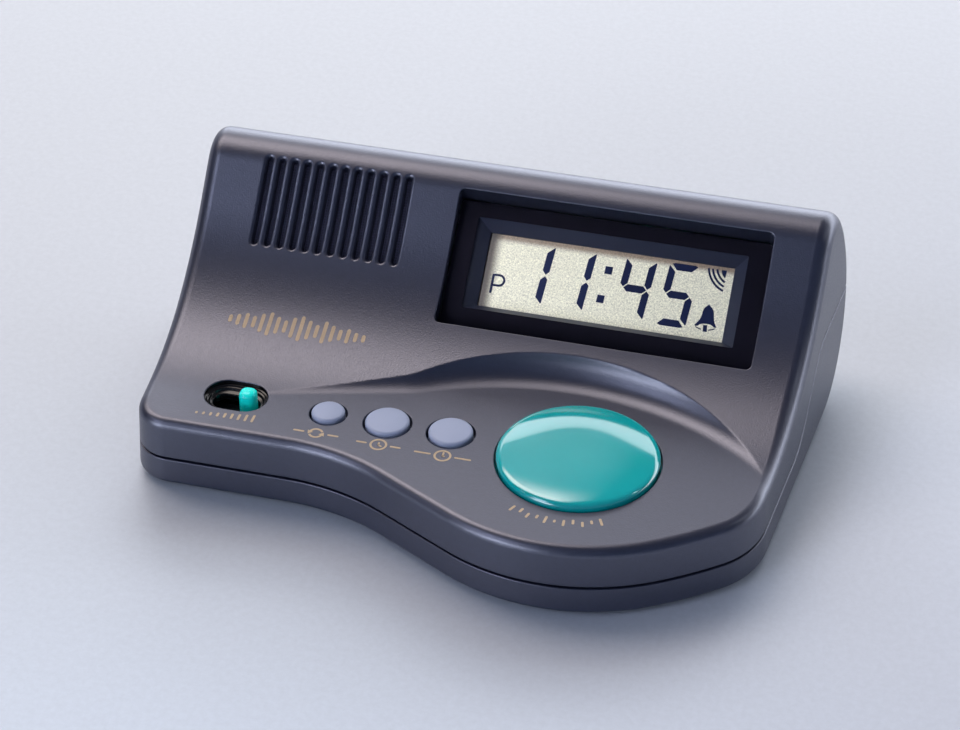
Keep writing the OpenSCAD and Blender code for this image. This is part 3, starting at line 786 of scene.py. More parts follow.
def clear_sheet(name):
    m, nt, out = nodes_of(name)
    tr = nt.nodes.new("ShaderNodeBsdfTransparent")
    tr.inputs["Color"].default_value = (0.97, 0.975, 0.98, 1)
    gl = nt.nodes.new("ShaderNodeBsdfGlossy")
    gl.inputs["Color"].default_value = (1, 1, 1, 1)
    tc = nt.nodes.new("ShaderNodeTexCoord").outputs["Object"]
    nt.links.new(spread(nt, noise(nt, tc, 90.0, 3.0), 0.01, 0.04), gl.inputs["Roughness"])
    fr = nt.nodes.new("ShaderNodeFresnel")
    fr.inputs["IOR"].default_value = 1.22
    weak = nt.nodes.new("ShaderNodeMath")
    weak.operation = "SUBTRACT"
    weak.use_clamp = True
    weak.inputs[1].default_value = 0.025
    nt.links.new(fr.outputs["Fac"], weak.inputs[0])
    mix = nt.nodes.new("ShaderNodeMixShader")
    nt.links.new(weak.outputs[0], mix.inputs["Fac"])
    nt.links.new(tr.outputs["BSDF"], mix.inputs[1])
    nt.links.new(gl.outputs["BSDF"], mix.inputs[2])
    nt.links.new(mix.outputs["Shader"], out.inputs["Surface"])
    return m


CASE = plastic("case_satin", (0.014, 0.017, 0.034), 0.34, var=0.25, grain=3400.0, bump=1.0, dist=0.00003, rvar=0.05, patch=1000.0, spec=0.95, sheen=(0.80, 0.83, 1.0), ior=1.7)
BLACK = plastic("well_black", (0.006, 0.006, 0.008), 0.20, var=0.2, grain=900.0, bump=0.05, dist=0.00002, rvar=0.05)
TEAL = plastic("talk_teal", (0.000, 0.42, 0.44), 0.10, var=0.03, grain=500.0, bump=0.02, dist=0.00003, rvar=0.03, coat=1.0, coat_rough=0.04, ior=1.66, sss=0.25, sss_r=(0.0006, 0.002, 0.0018))
# painted light: the teal knob glows a little (0.08) to read brighter; it is no lamp
KNOB = plastic("knob_teal", (0.004, 0.86, 0.78), 0.22, var=0.04, grain=900.0, bump=0.05, rvar=0.04, painted_glow=0.08, sss=0.2, sss_r=(0.0005, 0.0015, 0.0012))
KEY = plastic("key_lavender", (0.325, 0.375, 0.525), 0.45, var=0.04, grain=2600.0, bump=0.15, rvar=0.04)
MASK = plastic("border_black", (0.018, 0.0155, 0.025), 0.40, var=0.15, grain=1500.0, bump=0.0, spec=0.06)
BEZEL = plastic("frame_dark", (0.026, 0.030, 0.054), 0.33, var=0.08, grain=2200.0, bump=0.06, sheen=(0.8, 0.84, 1.0))
# painted light: the cream display glows a little (0.06); it is a reflective panel, no lamp
LCD = plastic("lcd_cream", (0.84, 0.80, 0.62), 0.45, var=0.40, grain=1500.0, bump=0.03, patch=3400.0, rvar=0.05, painted_glow=0.06)
INK = plastic("lcd_ink", (0.010, 0.016, 0.062), 0.5, var=0.15, grain=1800.0, bump=0.02, spec=0.1)
GOLD = plastic("print_gold", (0.46, 0.35, 0.23), 0.48, var=0.10, grain=4000.0, bump=0.10, patch=900.0, metal=0.12)
RUBBER = plastic("foot_rubber", (0.018, 0.018, 0.02), 0.75, var=0.15, grain=1800.0, bump=0.4)
BOARD = plastic("board_green", (0.015, 0.11, 0.045), 0.38, var=0.2, grain=700.0, bump=0.2, patch=250.0)
CHIP = plastic("chip_black", (0.008, 0.008, 0.009), 0.22, var=0.2, grain=500.0, bump=0.15)
SLEEVE = plastic("sleeve_blue", (0.012, 0.02, 0.08), 0.3, var=0.15)
STRIP = plastic("strip_dark", (0.03, 0.03, 0.032), 0.7, var=0.2, grain=2500.0, bump=0.3)
DOME = plastic("dome_silicone", (0.5, 0.52, 0.56), 0.6, var=0.06, grain=1500.0, bump=0.15, sss=0.2)
PAPER = plastic("cone_paper", (0.045, 0.04, 0.035), 0.85, var=0.25, grain=2200.0, bump=0.6, patch=400.0)
IRON = plastic("magnet_grey", (0.09, 0.09, 0.1), 0.45, var=0.2, metal=0.8)
WRAP = plastic("cell_wrap", (0.10, 0.115, 0.15), 0.28, var=0.12, grain=900.0, bump=0.05, metal=0.3)
RED = plastic("lead_red", (0.33, 0.02, 0.016), 0.35, var=0.12)
YELLOW = plastic("lead_yellow", (0.5, 0.33, 0.06), 0.35, var=0.12)
STEEL = brushed("screw_steel", (0.42, 0.43, 0.45), 0.32)
NICKEL = brushed("contact_nickel", (0.55, 0.54, 0.52), 0.25)
SHEET = brushed("speaker_sheet", (0.36, 0.37, 0.39), 0.38)
CLOTH = woven("grille_weave", (0.32, 0.30, 0.43), 0.0004)
CLEAR = clear_sheet("lens_clear")


def edge_shade(m):
    """Painted warm shadow along the left, upper and lower edge of the display, where the frame stands above it; the
    glow is shaded the same way.
    """
    nt = m.node_tree
    b = next(n for n in nt.nodes if n.type == "BSDF_PRINCIPLED")
    tc = nt.nodes.new("ShaderNodeTexCoord").outputs["Object"]
    up = (0, math.cos(rad(42)), math.sin(rad(42)))
    mid = 0.0199 * up[1] + 0.0298 * up[2]
    col = b.inputs["Base Color"].links[0].from_socket
    # painted shadow colours per edge: deep at the left, warm brown at the top and at the bottom
    for axis, zero, lo, hi, dark in (((1, 0, 0), 0, -0.0034, -0.0008, (0.07, 0.05, 0.055)), (up, mid, 0.0067, 0.0052, (0.34, 0.26, 0.24)), (up, mid, -0.0088, -0.0076, (0.34, 0.26, 0.24))):
        d = nt.nodes.new("ShaderNodeVectorMath")
        d.operation = "DOT_PRODUCT"
        d.inputs[1].default_value = axis
        nt.links.new(tc, d.inputs[0])
        r = nt.nodes.new("ShaderNodeMapRange")
        r.interpolation_type = "SMOOTHSTEP"
        r.inputs["From Min"].default_value = zero + min(lo, hi)
        r.inputs["From Max"].default_value = zero + max(lo, hi)
        r.inputs["To Min"].default_value = 0.0 if lo < hi else 1.0
        r.inputs["To Max"].default_value = 1.0 if lo < hi else 0.0
        nt.links.new(d.outputs["Value"], r.inputs["Value"])
        mx = nt.nodes.new("ShaderNodeMixRGB")
        mx.blend_type = "MULTIPLY"
        mx.inputs["Fac"].default_value = 1.0
        nt.links.new(col, mx.inputs["Color1"])
        nt.links.new(ramp(nt, r.outputs["Result"], dark, (1, 1, 1), 0.0, 1.0), mx.inputs["Color2"])
        col = mx.outputs["Color"]
    nt.links.new(col, b.inputs["Base Color"])
    nt.links.new(col, b.inputs["Emission Color"])


edge_shade(LCD)

by_slot = {"case_plastic": CASE, "lens_clear": CLEAR, "border_black": MASK, "frame_plastic": BEZEL, "lcd_cream": LCD, "strip_rubber": STRIP, "board_green": BOARD,
           "chip_black": CHIP, "contact_metal": NICKEL, "sleeve_blue": SLEEVE, "screw_steel": STEEL, "cloth_black": CLOTH, "speaker_steel": SHEET, "cone_paper": PAPER,
           "magnet_iron": IRON, "talk_teal": TEAL, "dome_rubber": DOME, "key_plastic": KEY, "knob_teal": KNOB, "cell_wrap": WRAP, "foot_rubber": RUBBER,
           "lead_red": RED, "lead_yellow": YELLOW}
for sub in frame["record"]["subparts"]:
    ob = frame["nodes"][sub["node"]]
    ob.data.materials.clear()
    ob.data.materials.append(by_slot[sub["material_slot"]])

# ---------------------------------------------------------------- places
TALK = (25.2, -19.5, 15.6)
MODE, HOUR, MINUTE = (-24.6, -17.95, 3.25), (-12.75, -17.95, 4.3), (-0.15, -17.95, 4.3)
VOL = (-43.55, -17.2)
LA = rad(42)
LY, LZ = 19.9, 29.8


def s_of(y):
    y = np.asarray(y, float)
    return np.where(y < SY, y - SY, SR * np.arcsin(np.clip((y - SY) / SR, -1, 1)))


def dev(loop):
    """Plan loop to developed loop."""
    return np.stack([loop[:, 0], s_of(loop[:, 1])], 1)


def lens_pt(x, v, n):
    x, v, n = np.broadcast_arrays(np.asarray(x, float), np.asarray(v, float), np.asarray(n, float))
    return np.stack([x, LY + v * math.cos(LA) - n * math.sin(LA), LZ + v * math.sin(LA) + n * math.cos(LA)], -1)


LENS_N = np.array([0, -math.sin(LA), math.cos(LA)])
_s = np.linspace(15, 60, 901)
_Y, _Z, _, _ = prof(_s)
_v = (_Y - LY) * math.cos(LA) + (_Z - LZ) * math.sin(LA)
_n = -(_Y - LY) * math.sin(LA) + (_Z - LZ) * math.cos(LA)
V_TOP = float(np.interp(0, (_n - (_v - 11.9))[::-1], _v[::-1]))


def lens_loop(x0, v0, x1, v1, r):
    lp = round_rect(x0, v0, x1, v1, r, 6, 2.0)
    return lp


rim_loop = lens_loop(-10.65, -14.35, 52.65, V_TOP, 1.1)
rim_dev = np.stack([rim_loop[:, 0], np.interp(rim_loop[:, 1], _v, _s)], 1)


def lens_bottom(_loop):
    v = -14.35 + (rim_loop[:, 1] + 14.35) * (11.9 + 14.35) / (V_TOP + 14.35)
    return lens_pt(rim_loop[:, 0], v, -1.6)


holes_up = [
    {"loop": dev(circle(TALK[0], TALK[1], 15.94, 120)), "rim": 0.16, "bottom": 2.6},
    {"loop": dev(circle(MODE[0], MODE[1], MODE[2] + 0.45, 44)), "rim": 0.2, "bottom": 2.4},
    {"loop": dev(circle(HOUR[0], HOUR[1], HOUR[2] + 0.45, 52)), "rim": 0.2, "bottom": 2.4},
    {"loop": dev(circle(MINUTE[0], MINUTE[1], MINUTE[2] + 0.45, 52)), "rim": 0.2, "bottom": 2.4},
    {"loop": dev(stadium(VOL[0], VOL[1], 12.55, 8.75, 16, 1.2)), "rim": 0.24, "bottom": 0.95, "mat": 1},
    {"loop": rim_dev, "rim": 0.26, "bottom": lens_bottom},
]
for i in range(12):
    holes_up.append({"loop": stadium(-50.65 + 2.655 * i, 46.65, 18.05, 1.05, 8, 1.4, upright=True), "rim": 0.74, "bottom": 1.9})

# fine points along the scooped edge of the pad
pts = []
feet_line = [(TAIL_E + t * np.array([-aside(TAIL_B)[1], aside(TAIL_B)[0]]), aside(TAIL_B)) for t in np.arange(30.0, 0.0, -0.6)]
feet_line += [(TAIL_C - TAIL_R * aside(th), aside(th)) for th in np.arange(TAIL_B, TAIL_A, -1.4)]
feet_line += [(PAD_C + PAD_R * aside(th), aside(th)) for th in np.arange(TAIL_A, 53, 0.6)]
for foot, out in feet_line:
    qs = np.concatenate([np.arange(-0.6, 4.2, 0.3), np.arange(4.2, 8.2, 0.2)])
    x, y = foot[0] + qs * out[0], foot[1] + qs * out[1]
    hs = np.where(y > SY, SR - np.sqrt(np.maximum(SR ** 2 - (y - SY) ** 2, 1)), 0)
    over = np.where(cove(qs) > hs)[0]
    qt = qs[over[0]] if len(over) else 8
    if hs[int(np.argmin(abs(qs - 1)))] < 0.05:
        continue
    for q, a, b in zip(qs, x, y):
        if q < qt + 1.2:
            pts.append((a, float(s_of(b))))
pad_pts = np.array(pts)


def in_pad_band(g):
    y = prof(g[:, 1])[0]
    q = pad_q(g[:, 0], y)
    hs = np.where(y > SY, SR - np.sqrt(np.maximum(SR ** 2 - (y - SY) ** 2, 1)), 0)
    reach = np.sqrt(np.maximum(PAD_COVE ** 2 - np.maximum(PAD_COVE - hs, 0) ** 2, 0))
    return (q > -1.0) & (q < reach + 1.6) & (y > SY + 1.5) & (g[:, 1] < 40)


upper = shell("upper_shell", [CASE, BLACK], True, holes_up, pad_pts, in_pad_band)
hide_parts("upper_case")

BAY = (-10.0, 40.6, 6.5, 28.9)
s_front = S5 + TC[0] - 6.5
s_back = S4 + TR * (math.pi / 2 - math.acos((TR - 2.2) / TR))


def dev_low(loop):
    y = loop[:, 1]
    a = np.arcsin(np.clip((y - TC[0]) / TR, 0, 1))
    s = np.where(y < TC[0], S5 + TC[0] - y, S5 - TR * a)
    lp = np.stack([loop[:, 0], s], 1)
    return lp[::-1]


SCREWS = [(-55, -19), (54, -16), (-58, 13.5), (58, 13.5)]
FEET = [(-44, -22), (42, -31), (-50, 21.5), (50, 21.5)]
holes_low = [{"loop": round_rect(-10.0, s_back, 40.6, s_front, 0.8, 4, 2.2), "rim": 0.25, "bottom": 1.9}]
for x, y in SCREWS:
    holes_low.append({"loop": dev_low(circle(x, y, 2.8, 36)), "rim": 0.25, "bottom": 2.95})
for x, y in FEET:
    holes_low.append({"loop": dev_low(circle(x, y, 4.08, 44)), "rim": 0.2, "bottom": 1.5})
lower = shell("lower_shell", [CASE, BLACK], False, holes_low, np.zeros((0, 2)), None)
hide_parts("lower_case")


# ---------------------------------------------------------------- turned pieces
def lathe(name, prof_rz, centre, mats, body, n=96):
    """Closed turned piece from a list of (radius, z, normal r, normal z), first and last radius 0."""
    B = Build()
    loops = []
    a = np.arange(n) * 2 * np.pi / n
    for r, z, nr, nz in prof_rz:
        if r < 1e-6:
            loops.append(B.add([[centre[0], centre[1], z]], [[0, 0, nz]]))
        else:
            loops.append(B.add(np.stack([centre[0] + r * np.cos(a), centre[1] + r * np.sin(a), np.full(n, z)], 1), np.stack([nr * np.cos(a), nr * np.sin(a), np.full(n, nz)], 1)))
    for p, q in zip(loops, loops[1:]):
        if len(p) == 1 and len(q) == 1:
            continue
        if len(p) == 1:
            for i in range(n):
                B.face((p[0], q[i], q[(i + 1) % n]))
        elif len(q) == 1:
            for i in range(n):
                B.face((p[i], p[(i + 1) % n], q[0]))
        else:
            B.strip(p, q, closed=True)
    return B.make(name, mats, body)


def cap_profile(r, edge, fw, fh, crown, power, bottom, flange):
    """Button cap: flange and wall below, oval shoulder fw wide and fh high up to the height edge, crowned top."""
    out = [(0, bottom, 0, -1), (flange * 0.5, bottom, 0, -1), (flange - 0.2, bottom, 0, -1), (flange, bottom + 0.2, 1, 0), (flange, bottom + 0.8, 1, 0), (flange - 0.2, bottom + 1.0, 0, 1), (r + 0.15, bottom + 1.0, 0, 1), (r, bottom + 1.15, 1, 0), (r, (edge - fh) * 0.5 + bottom * 0.5, 1, 0), (r, edge - fh, 1, 0)]
    r1 = r - fw
    slope = power * crown / r1
    end = math.atan2(fh, fw * slope)
    for i in range(1, 13):
        ph = end * i / 12
        nr, nz = math.cos(ph) / fw, math.sin(ph) / fh
        h = math.hypot(nr, nz)
        out.append((r1 + fw * math.cos(ph), edge - fh + fh * math.sin(ph), nr / h, nz / h))
    x1, z1 = out[-1][0], out[-1][1]
    for i in range(1, 25):
        q = 1 - i / 24
        d = slope * q ** (power - 1)
        h = math.hypot(d, 1)
        out.append((x1 * q, z1 + crown * x1 / r1 * (1 - q ** power), d / h, 1 / h))
    return out


talk = lathe("talk_cap", cap_profile(15.6, DECK + 1.5, 1.6, 1.0, 0.5, 4.0, 11.9, 17.2), TALK, [TEAL], "talk_button", 144)
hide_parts("talk_button")
for nm, c in (("mode", MODE), ("hour", HOUR), ("minute", MINUTE)):
    b = lathe(nm + "_cap", cap_profile(c[2], DECK + 0.75, 0.75, 0.6, 0.22, 2.0, 11.9, c[2] + 1.25), c, [KEY], nm + "_button", 72)
    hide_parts(nm + "_button")

# feet
B = Build()
for x, y in FEET:
    n = 48
    a = np.arange(n) * 2 * np.pi / n
    prf = [(0, -FOOT, 0, -1), (2.6, -FOOT, 0, -1), (3.5, -FOOT, 0, -1), (3.75, -FOOT + 0.1, 0.6, -0.8), (3.88, -FOOT + 0.35, 1, 0), (3.88, 0.6, 1, 0), (3.6, 0.68, 0, 1), (0, 0.68, 0, 1)]
    loops = []
    for r, z, nr, nz in prf:
        if r == 0:
            loops.append(B.add([[x, y, z]], [[0, 0, nz]]))
        else:
            loops.append(B.add(np.stack([x + r * np.cos(a), y + r * np.sin(a), np.full(n, z)], 1), np.stack([nr * np.cos(a), nr * np.sin(a), np.full(n, nz)], 1)))
    for p, q in zip(loops, loops[1:]):
        if len(p) == 1:
            for i in range(n):
                B.face((p[0], q[i], q[(i + 1) % n]))
        elif len(q) == 1:
            for i in range(n):
                B.face((p[i], p[(i + 1) % n], q[0]))
        else:
            B.strip(p, q, closed=True)
feet = B.make("feet_pads", [RUBBER], "case")
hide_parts("rubber_feet")


# ---------------------------------------------------------------- stacked loops: wells, lens, masks, slabs
def stack(name, loops, mats, body, cap=(True, True), sharp=40):
    """Closed piece from loops of equal length, capped at both ends, with the sharp edges kept."""
    me = bpy.data.meshes.new(name)
    v = np.concatenate(loops) * MM
    v[:, 2] += FOOT * MM
    n = len(loops[0])
    f = []
    for k in range(len(loops) - 1):
        for i in range(n):
            j = (i + 1) % n
            f.append((k * n + i, k * n + j, (k + 1) * n + j, (k + 1) * n + i))
    if cap[0]:
        f.append(tuple(range(n))[::-1])
    if cap[1]:
        f.append(tuple((len(loops) - 1) * n + i for i in range(n)))
    me.from_pydata(v.tolist(), [], f)
    return finish_mesh(name, me, mats, body, sharp)


def finish_mesh(name, me, mats, body, sharp=40):
    bm = bmesh.new()
    bm.from_mesh(me)
    bmesh.ops.recalc_face_normals(bm, faces=bm.faces)
    if bm.calc_volume(signed=True) < 0:
        bmesh.ops.reverse_faces(bm, faces=bm.faces)
    lim = rad(sharp)
    for e in bm.edges:
        e.smooth = len(e.link_faces) == 2 and e.calc_face_angle(0) < lim
    for fc in bm.faces:
        fc.smooth = True
    bm.to_mesh(me)
    bm.free()
    for m in mats:
        me.materials.append(m)
    ob = bpy.data.objects.new(name, me)
    bpy.context.scene.collection.objects.link(ob)
    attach(ob, body)
    return ob


def ring_piece(name, rows, mats, body, sharp=40):
    """Closed ring from loops; the last joins the first."""
    me = bpy.data.meshes.new(name)
    v = np.concatenate(rows) * MM
    v[:, 2] += FOOT * MM
    n, m = len(rows[0]), len(rows)
    f = []
    for k in range(m):
        k2 = (k + 1) % m
        for i in range(n):
            j = (i + 1) % n
            f.append((k * n + i, k * n + j, k2 * n + j, k2 * n + i))
    me.from_pydata(v.tolist(), [], f)
    return finish_mesh(name, me, mats, body, sharp)


def flat(loop, z):
    return np.concatenate([loop, np.full((len(loop), 1), z)], 1)


def stad_n(l, w, n=64):
    """Stadium with points at equal angles, so that loops of other sizes match."""
    out = []
    h = (l - w) / 2
    for i in range(n):
        a = 2 * math.pi * (i + 0.5) / n
        c, s = math.cos(a), math.sin(a)
        out.append((VOL[0] + math.copysign(h, c) + w / 2 * c, VOL[1] + w / 2 * s))
    return np.array(out)


well_rows = [(12.5, 8.7, 0.72), (12.1, 8.3, 0.78), (11.7, 7.9, 0.95), (11.5, 7.7, 1.02), (11.1, 7.3, 1.04), (10.9, 7.1, 1.12), (10.7, 6.9, 1.5), (10.4, 6.6, 1.6), (9.9, 5.0, 1.62), (9.6, 4.7, 1.68), (9.4, 4.5, 1.85), (9.4, 4.5, 3.0), (12.5, 8.7, 3.0)]
well = ring_piece("volume_well", [flat(stad_n(l, w), DECK - d) for l, w, d in well_rows], [BLACK], "case", 50)


kx = VOL[0] + 2.5


def knob_rows(ins, z):
    """Rounded square of the volume knob, pulled in by ins."""
    return flat(round_rect(kx - 1.7 + ins, VOL[1] - 1.7 + ins, kx + 1.7 - ins, VOL[1] + 1.7 - ins, 1.35 - 0.85 * ins, 10, 500), z)


kz = DECK + 1.8
rows = [knob_rows(0.05, 11.0), knob_rows(0, 11.05), knob_rows(0, kz - 1.0)]
for i in range(1, 9):
    ph = math.pi / 2 * i / 9
    rows.append(knob_rows(1.0 * (1 - math.cos(ph)), kz - 1.0 + 0.93 * math.sin(ph)))
rows += [knob_rows(1.08, kz - 0.05), knob_rows(1.3, kz - 0.02), knob_rows(1.5, kz)]
knob = stack("volume_cap", rows, [KNOB], "volume_knob", sharp=60)
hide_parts("volume_knob")


def lens_rows(x0, v0, x1, v1, r, n, step=3.0, ins=0.0):
    return lens_pt(*round_rect(x0 + ins, v0 + ins, x1 - ins, v1 - ins, max(r - ins, 0.05), 6, 500).T, n)


L4 = (-10.5, -14.2, 52.5, 11.75)
lens = stack("lens_sheet", [lens_rows(*L4, 0.95, -1.5, ins=0.05), lens_rows(*L4, 0.95, -1.45), lens_rows(*L4, 0.95, -0.5), lens_rows(*L4, 0.95, -0.3, ins=0.07), lens_rows(*L4, 0.95, -0.1, ins=0.25), lens_rows(*L4, 0.95, 0.0, ins=0.5)], [CLEAR], "case", sharp=30)
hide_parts("display_lens")
M4, W4 = (-10.45, -14.15, 52.45, 11.7), (-6.55, -9.9, 48.1, 8.8)
mask = ring_piece("lens_border", [lens_rows(*M4, 0.9, -1.70), lens_rows(*M4, 0.9, -1.53), lens_rows(*W4, 0.35, -1.53), lens_rows(*W4, 0.35, -1.70)], [MASK], "case", 30)
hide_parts("lens_mask")
bev = ring_piece("display_bevel", [lens_rows(-7.3, -10.8, 48.8, 9.6, 0.3, -1.80), lens_rows(-6.75, -10.05, 48.3, 8.95, 0.12, -1.80), lens_rows(-6.62, -9.95, 48.15, 8.85, 0.12, -1.84), lens_rows(-6.45, -9.85, 48.0, 8.72, 0.12, -1.99), lens_rows(-4.30, -8.70, 45.68, 6.72, 0.12, -4.05), lens_rows(-4.12, -8.60, 45.52, 6.62, 0.12, -4.18), lens_rows(-4.05, -8.55, 45.45, 6.55, 0.12, -4.32), lens_rows(-4.05, -8.55, 45.45, 6.55, 0.12, -4.55), lens_rows(-7.3, -10.8, 48.8, 9.6, 0.3, -4.55)], [BEZEL], "case", 25)
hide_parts("lcd_frame")


# ---------------------------------------------------------------- thin printed shapes
def slab(name, shapes, place, h0, h1, mats, body, step=0.7):
    """Thin closed slabs from closed outlines; place(p, h) puts an outline point at height h."""
    verts, faces, k = [], [], 0
    for sh in shapes:
        lp = refine(np.asarray(sh, float), step)
        area = 0.5 * float(np.sum(lp[:, 0] * np.roll(lp[:, 1], -1) - np.roll(lp[:, 0], -1) * lp[:, 1]))
        if area < 0:
            lp = lp[::-1]
        tri = fill([lp], np.zeros((0, 2)))
        n = len(lp)
        verts += [place(lp, h1), place(lp, h0)]
        for t in tri:
            faces.append((k + t[0], k + t[1], k + t[2]))
            faces.append((k + n + t[2], k + n + t[1], k + n + t[0]))
        for i in range(n):
            j = (i + 1) % n
            faces.append((k + i, k + n + i, k + n + j, k + j))
        k += 2 * n
    v = np.concatenate(verts) * MM
    v[:, 2] += FOOT * MM
    me = bpy.data.meshes.new(name)
    me.from_pydata(v.tolist(), [], [tuple(int(i) for i in f) for f in faces])
    return finish_mesh(name, me, mats, body, 30)


def bar(x0, y0, x1, y1, w, cap=6):
    """Straight stroke with round ends."""
    d = np.array([x1 - x0, y1 - y0], float)
    a = math.atan2(d[1], d[0])
    pts = [(x1 + w / 2 * math.cos(a + rad(-90 + 180 * i / cap)), y1 + w / 2 * math.sin(a + rad(-90 + 180 * i / cap))) for i in range(cap + 1)]
    pts += [(x0 + w / 2 * math.cos(a + rad(90 + 180 * i / cap)), y0 + w / 2 * math.sin(a + rad(90 + 180 * i / cap))) for i in range(cap + 1)]
    return np.array(pts)


def arc_stroke(cx, cy, r, a0, a1, w, n=14):
    o = [(cx + (r + w / 2) * math.cos(rad(a0 + (a1 - a0) * i / n)), cy + (r + w / 2) * math.sin(rad(a0 + (a1 - a0) * i / n))) for i in range(n + 1)]
    i_ = [(cx + (r - w / 2) * math.cos(rad(a1 + (a0 - a1) * i / n)), cy + (r - w / 2) * math.sin(rad(a1 + (a0 - a1) * i / n))) for i in range(n + 1)]
    return np.array(o + i_)


def on_top(lp, h):
    s = s_of(lp[:, 1])
    p = top_point(lp[:, 0], s)
    n = normals(top_point, lp[:, 0], s)
    n *= np.sign(n[:, 2])[:, None]
    return p + n * h


def ring_strokes(cx, cy, r, w):
    return [arc_stroke(cx, cy, r, 0, 180, w, 18), arc_stroke(cx, cy, r, 180, 360, w, 18)]


gold = []
# level bars on the face
hts = [1.0, 1.9, 3.0, 2.1, 3.9, 5.2, 3.5, 2.3, 4.4, 5.6, 4.0, 2.5, 4.8, 3.3, 1.9, 2.8, 1.5, 1.0]
for i, h in enumerate(hts):
    x = -51.0 + i * 1.62
    gold.append(bar(x, 2.1 - h * 0.42, x, 2.1 + h * 0.42, 0.78))
# rising wedge under the volume slot
for i in range(9):
    gold.append(bar(-49.3 + i * 1.4, -24.2, -49.3 + i * 1.4, -24.0 + 0.2 * i, 0.5))
# mode: round trip arrows
mx, my = MODE[0] - 0.5, -24.5
gold += [arc_stroke(mx, my, 1.25, 25, 160, 0.44), arc_stroke(mx, my, 1.25, 205, 340, 0.44)]
for a in (160, 340):
    c, t = np.array([math.cos(rad(a)), math.sin(rad(a))]), np.array([-math.sin(rad(a)), math.cos(rad(a))])
    gold.append(np.array([np.array([mx, my]) + c * 0.62, np.array([mx, my]) + c * 1.88, np.array([mx, my]) + c * 1.25 + t * 0.95]))
gold += [bar(mx - 4.3, my, mx - 2.5, my, 0.44), bar(mx + 2.5, my, mx + 4.3, my, 0.44)]
# hour and minute: dials with a short and a long hand
for cx, cy, long_hand, reach in ((HOUR[0] + 0.2, -24.9, False, 4.2), (MINUTE[0] + 0.3, -25.1, True, 5.4)):
    gold += ring_strokes(cx, cy, 1.5, 0.42)
    gold.append(bar(cx, cy - 0.1, cx, cy + (0.95 if long_hand else 0.55), 0.38))
    gold.append(bar(cx, cy - 0.1, cx + (0.3 if long_hand else 0.6), cy - 0.1 + (0.0 if long_hand else -0.3), 0.38))
    gold += [bar(cx - reach, cy, cx - 2.5, cy, 0.44), bar(cx + 2.5, cy, cx + reach, cy, 0.44)]
# talk: sound rays in front of the large button
tx, ty = TALK[0], TALK[1]
for k in range(-5, 6):
    a = -90 + k * 5.2
    c, e = math.cos(rad(a)), math.sin(rad(a))
    r0, r1 = 18.9 - 0.28 * (k % 3), 19.2 + 0.35 * ((k * 2) % 4)
    gold.append(bar(tx + r0 * c, ty + r0 * e, tx + r1 * c, ty + r1 * e, 0.5))
prints = slab("deck_prints", gold, on_top, -0.02, 0.03, [GOLD], "case")


# ---------------------------------------------------------------- display signs
def on_lcd(lp, h):
    return lens_pt(lp[:, 0], lp[:, 1], -4.65 + h)


SL = math.tan(rad(4.8))


def seg_digit(x, v0, h, w, segs, t=1.42, g=0.17):
    """Seven-segment figure: x of the lower left corner, bottom v0, height h, width w, stroke t, gap g."""
    m = h / 2

    def hor(k):
        if k == 0:
            return [(0.35 + g, 0.28), (0.9 + g, 0), (w - 0.9 - g, 0), (w - 0.3 - g, 0.2), (w - t - g, t), (t + g, t)]
        if k == 2:
            return [(0.3 + g, h - 0.2), (t + g, h - t), (w - t - g, h - t), (w - 0.35 - g, h - 0.28), (w - 0.9 - g, h), (0.9 + g, h)]
        return [(0.62 + g, m), (t - 0.05 + g, m + t * 0.52), (w - t + 0.05 - g, m + t * 0.52), (w - 0.62 - g, m), (w - t + 0.05 - g, m - t * 0.52), (t - 0.05 + g, m - t * 0.52)]

    def ver(left, upper):
        p = [(0, m + 0.62 + g), (0, h - 0.62 - g), (0.12, h - 0.42 - g), (t, h - t - 0.22 - g), (t, m + t * 0.5 + g + 0.12), (t * 0.46, m + g)]
        p = [(a if left else w - a, b if upper else h - b) for a, b in p]
        return p
    shapes = {"a": hor(2), "g": hor(1), "d": hor(0), "f": ver(True, True), "b": ver(False, True), "e": ver(True, False), "c": ver(False, False)}
    return [np.array([(x + a + b * SL, v0 + b) for a, b in shapes[k]]) for k in segs]


ink = []
V0, H, W = -6.85, 12.85, 6.2
for x, segs in ((2.2, "bc"), (10.6, "bc"), (22.85, "fgbc"), (31.5, "afgcd")):
    ink += seg_digit(x, V0, H, W, segs)
for cx, cv in ((20.68, 2.5), (20.1, -3.46)):
    ink.append(np.array([(cx - 0.76, cv - 0.78), (cx + 0.72, cv - 0.78), (cx + 0.78, cv + 0.78), (cx - 0.7, cv + 0.78)]))
# afternoon sign
ink += [bar(-2.02, -5.4, -2.0, -1.85, 0.5, 4), bar(-1.65, -1.78, -0.75, -1.78, 0.46, 4), bar(-1.65, -3.9, -0.75, -3.9, 0.46, 4), arc_stroke(-0.72, -2.84, 1.06, -90, 90, 0.46)]
# sound sign: three arcs and a wedge
for r, a0, a1 in ((5.4, 190.2, 251), (4.6, 191.9, 247.6), (3.75, 194.4, 243)):
    ink.append(arc_stroke(45.6, 6.9, r, a0, a1, 0.42))
ink.append(np.array([(42.86, 5.92), (43.0, 5.3), (43.35, 4.75), (43.8, 4.35), (43.92, 5.97)]))
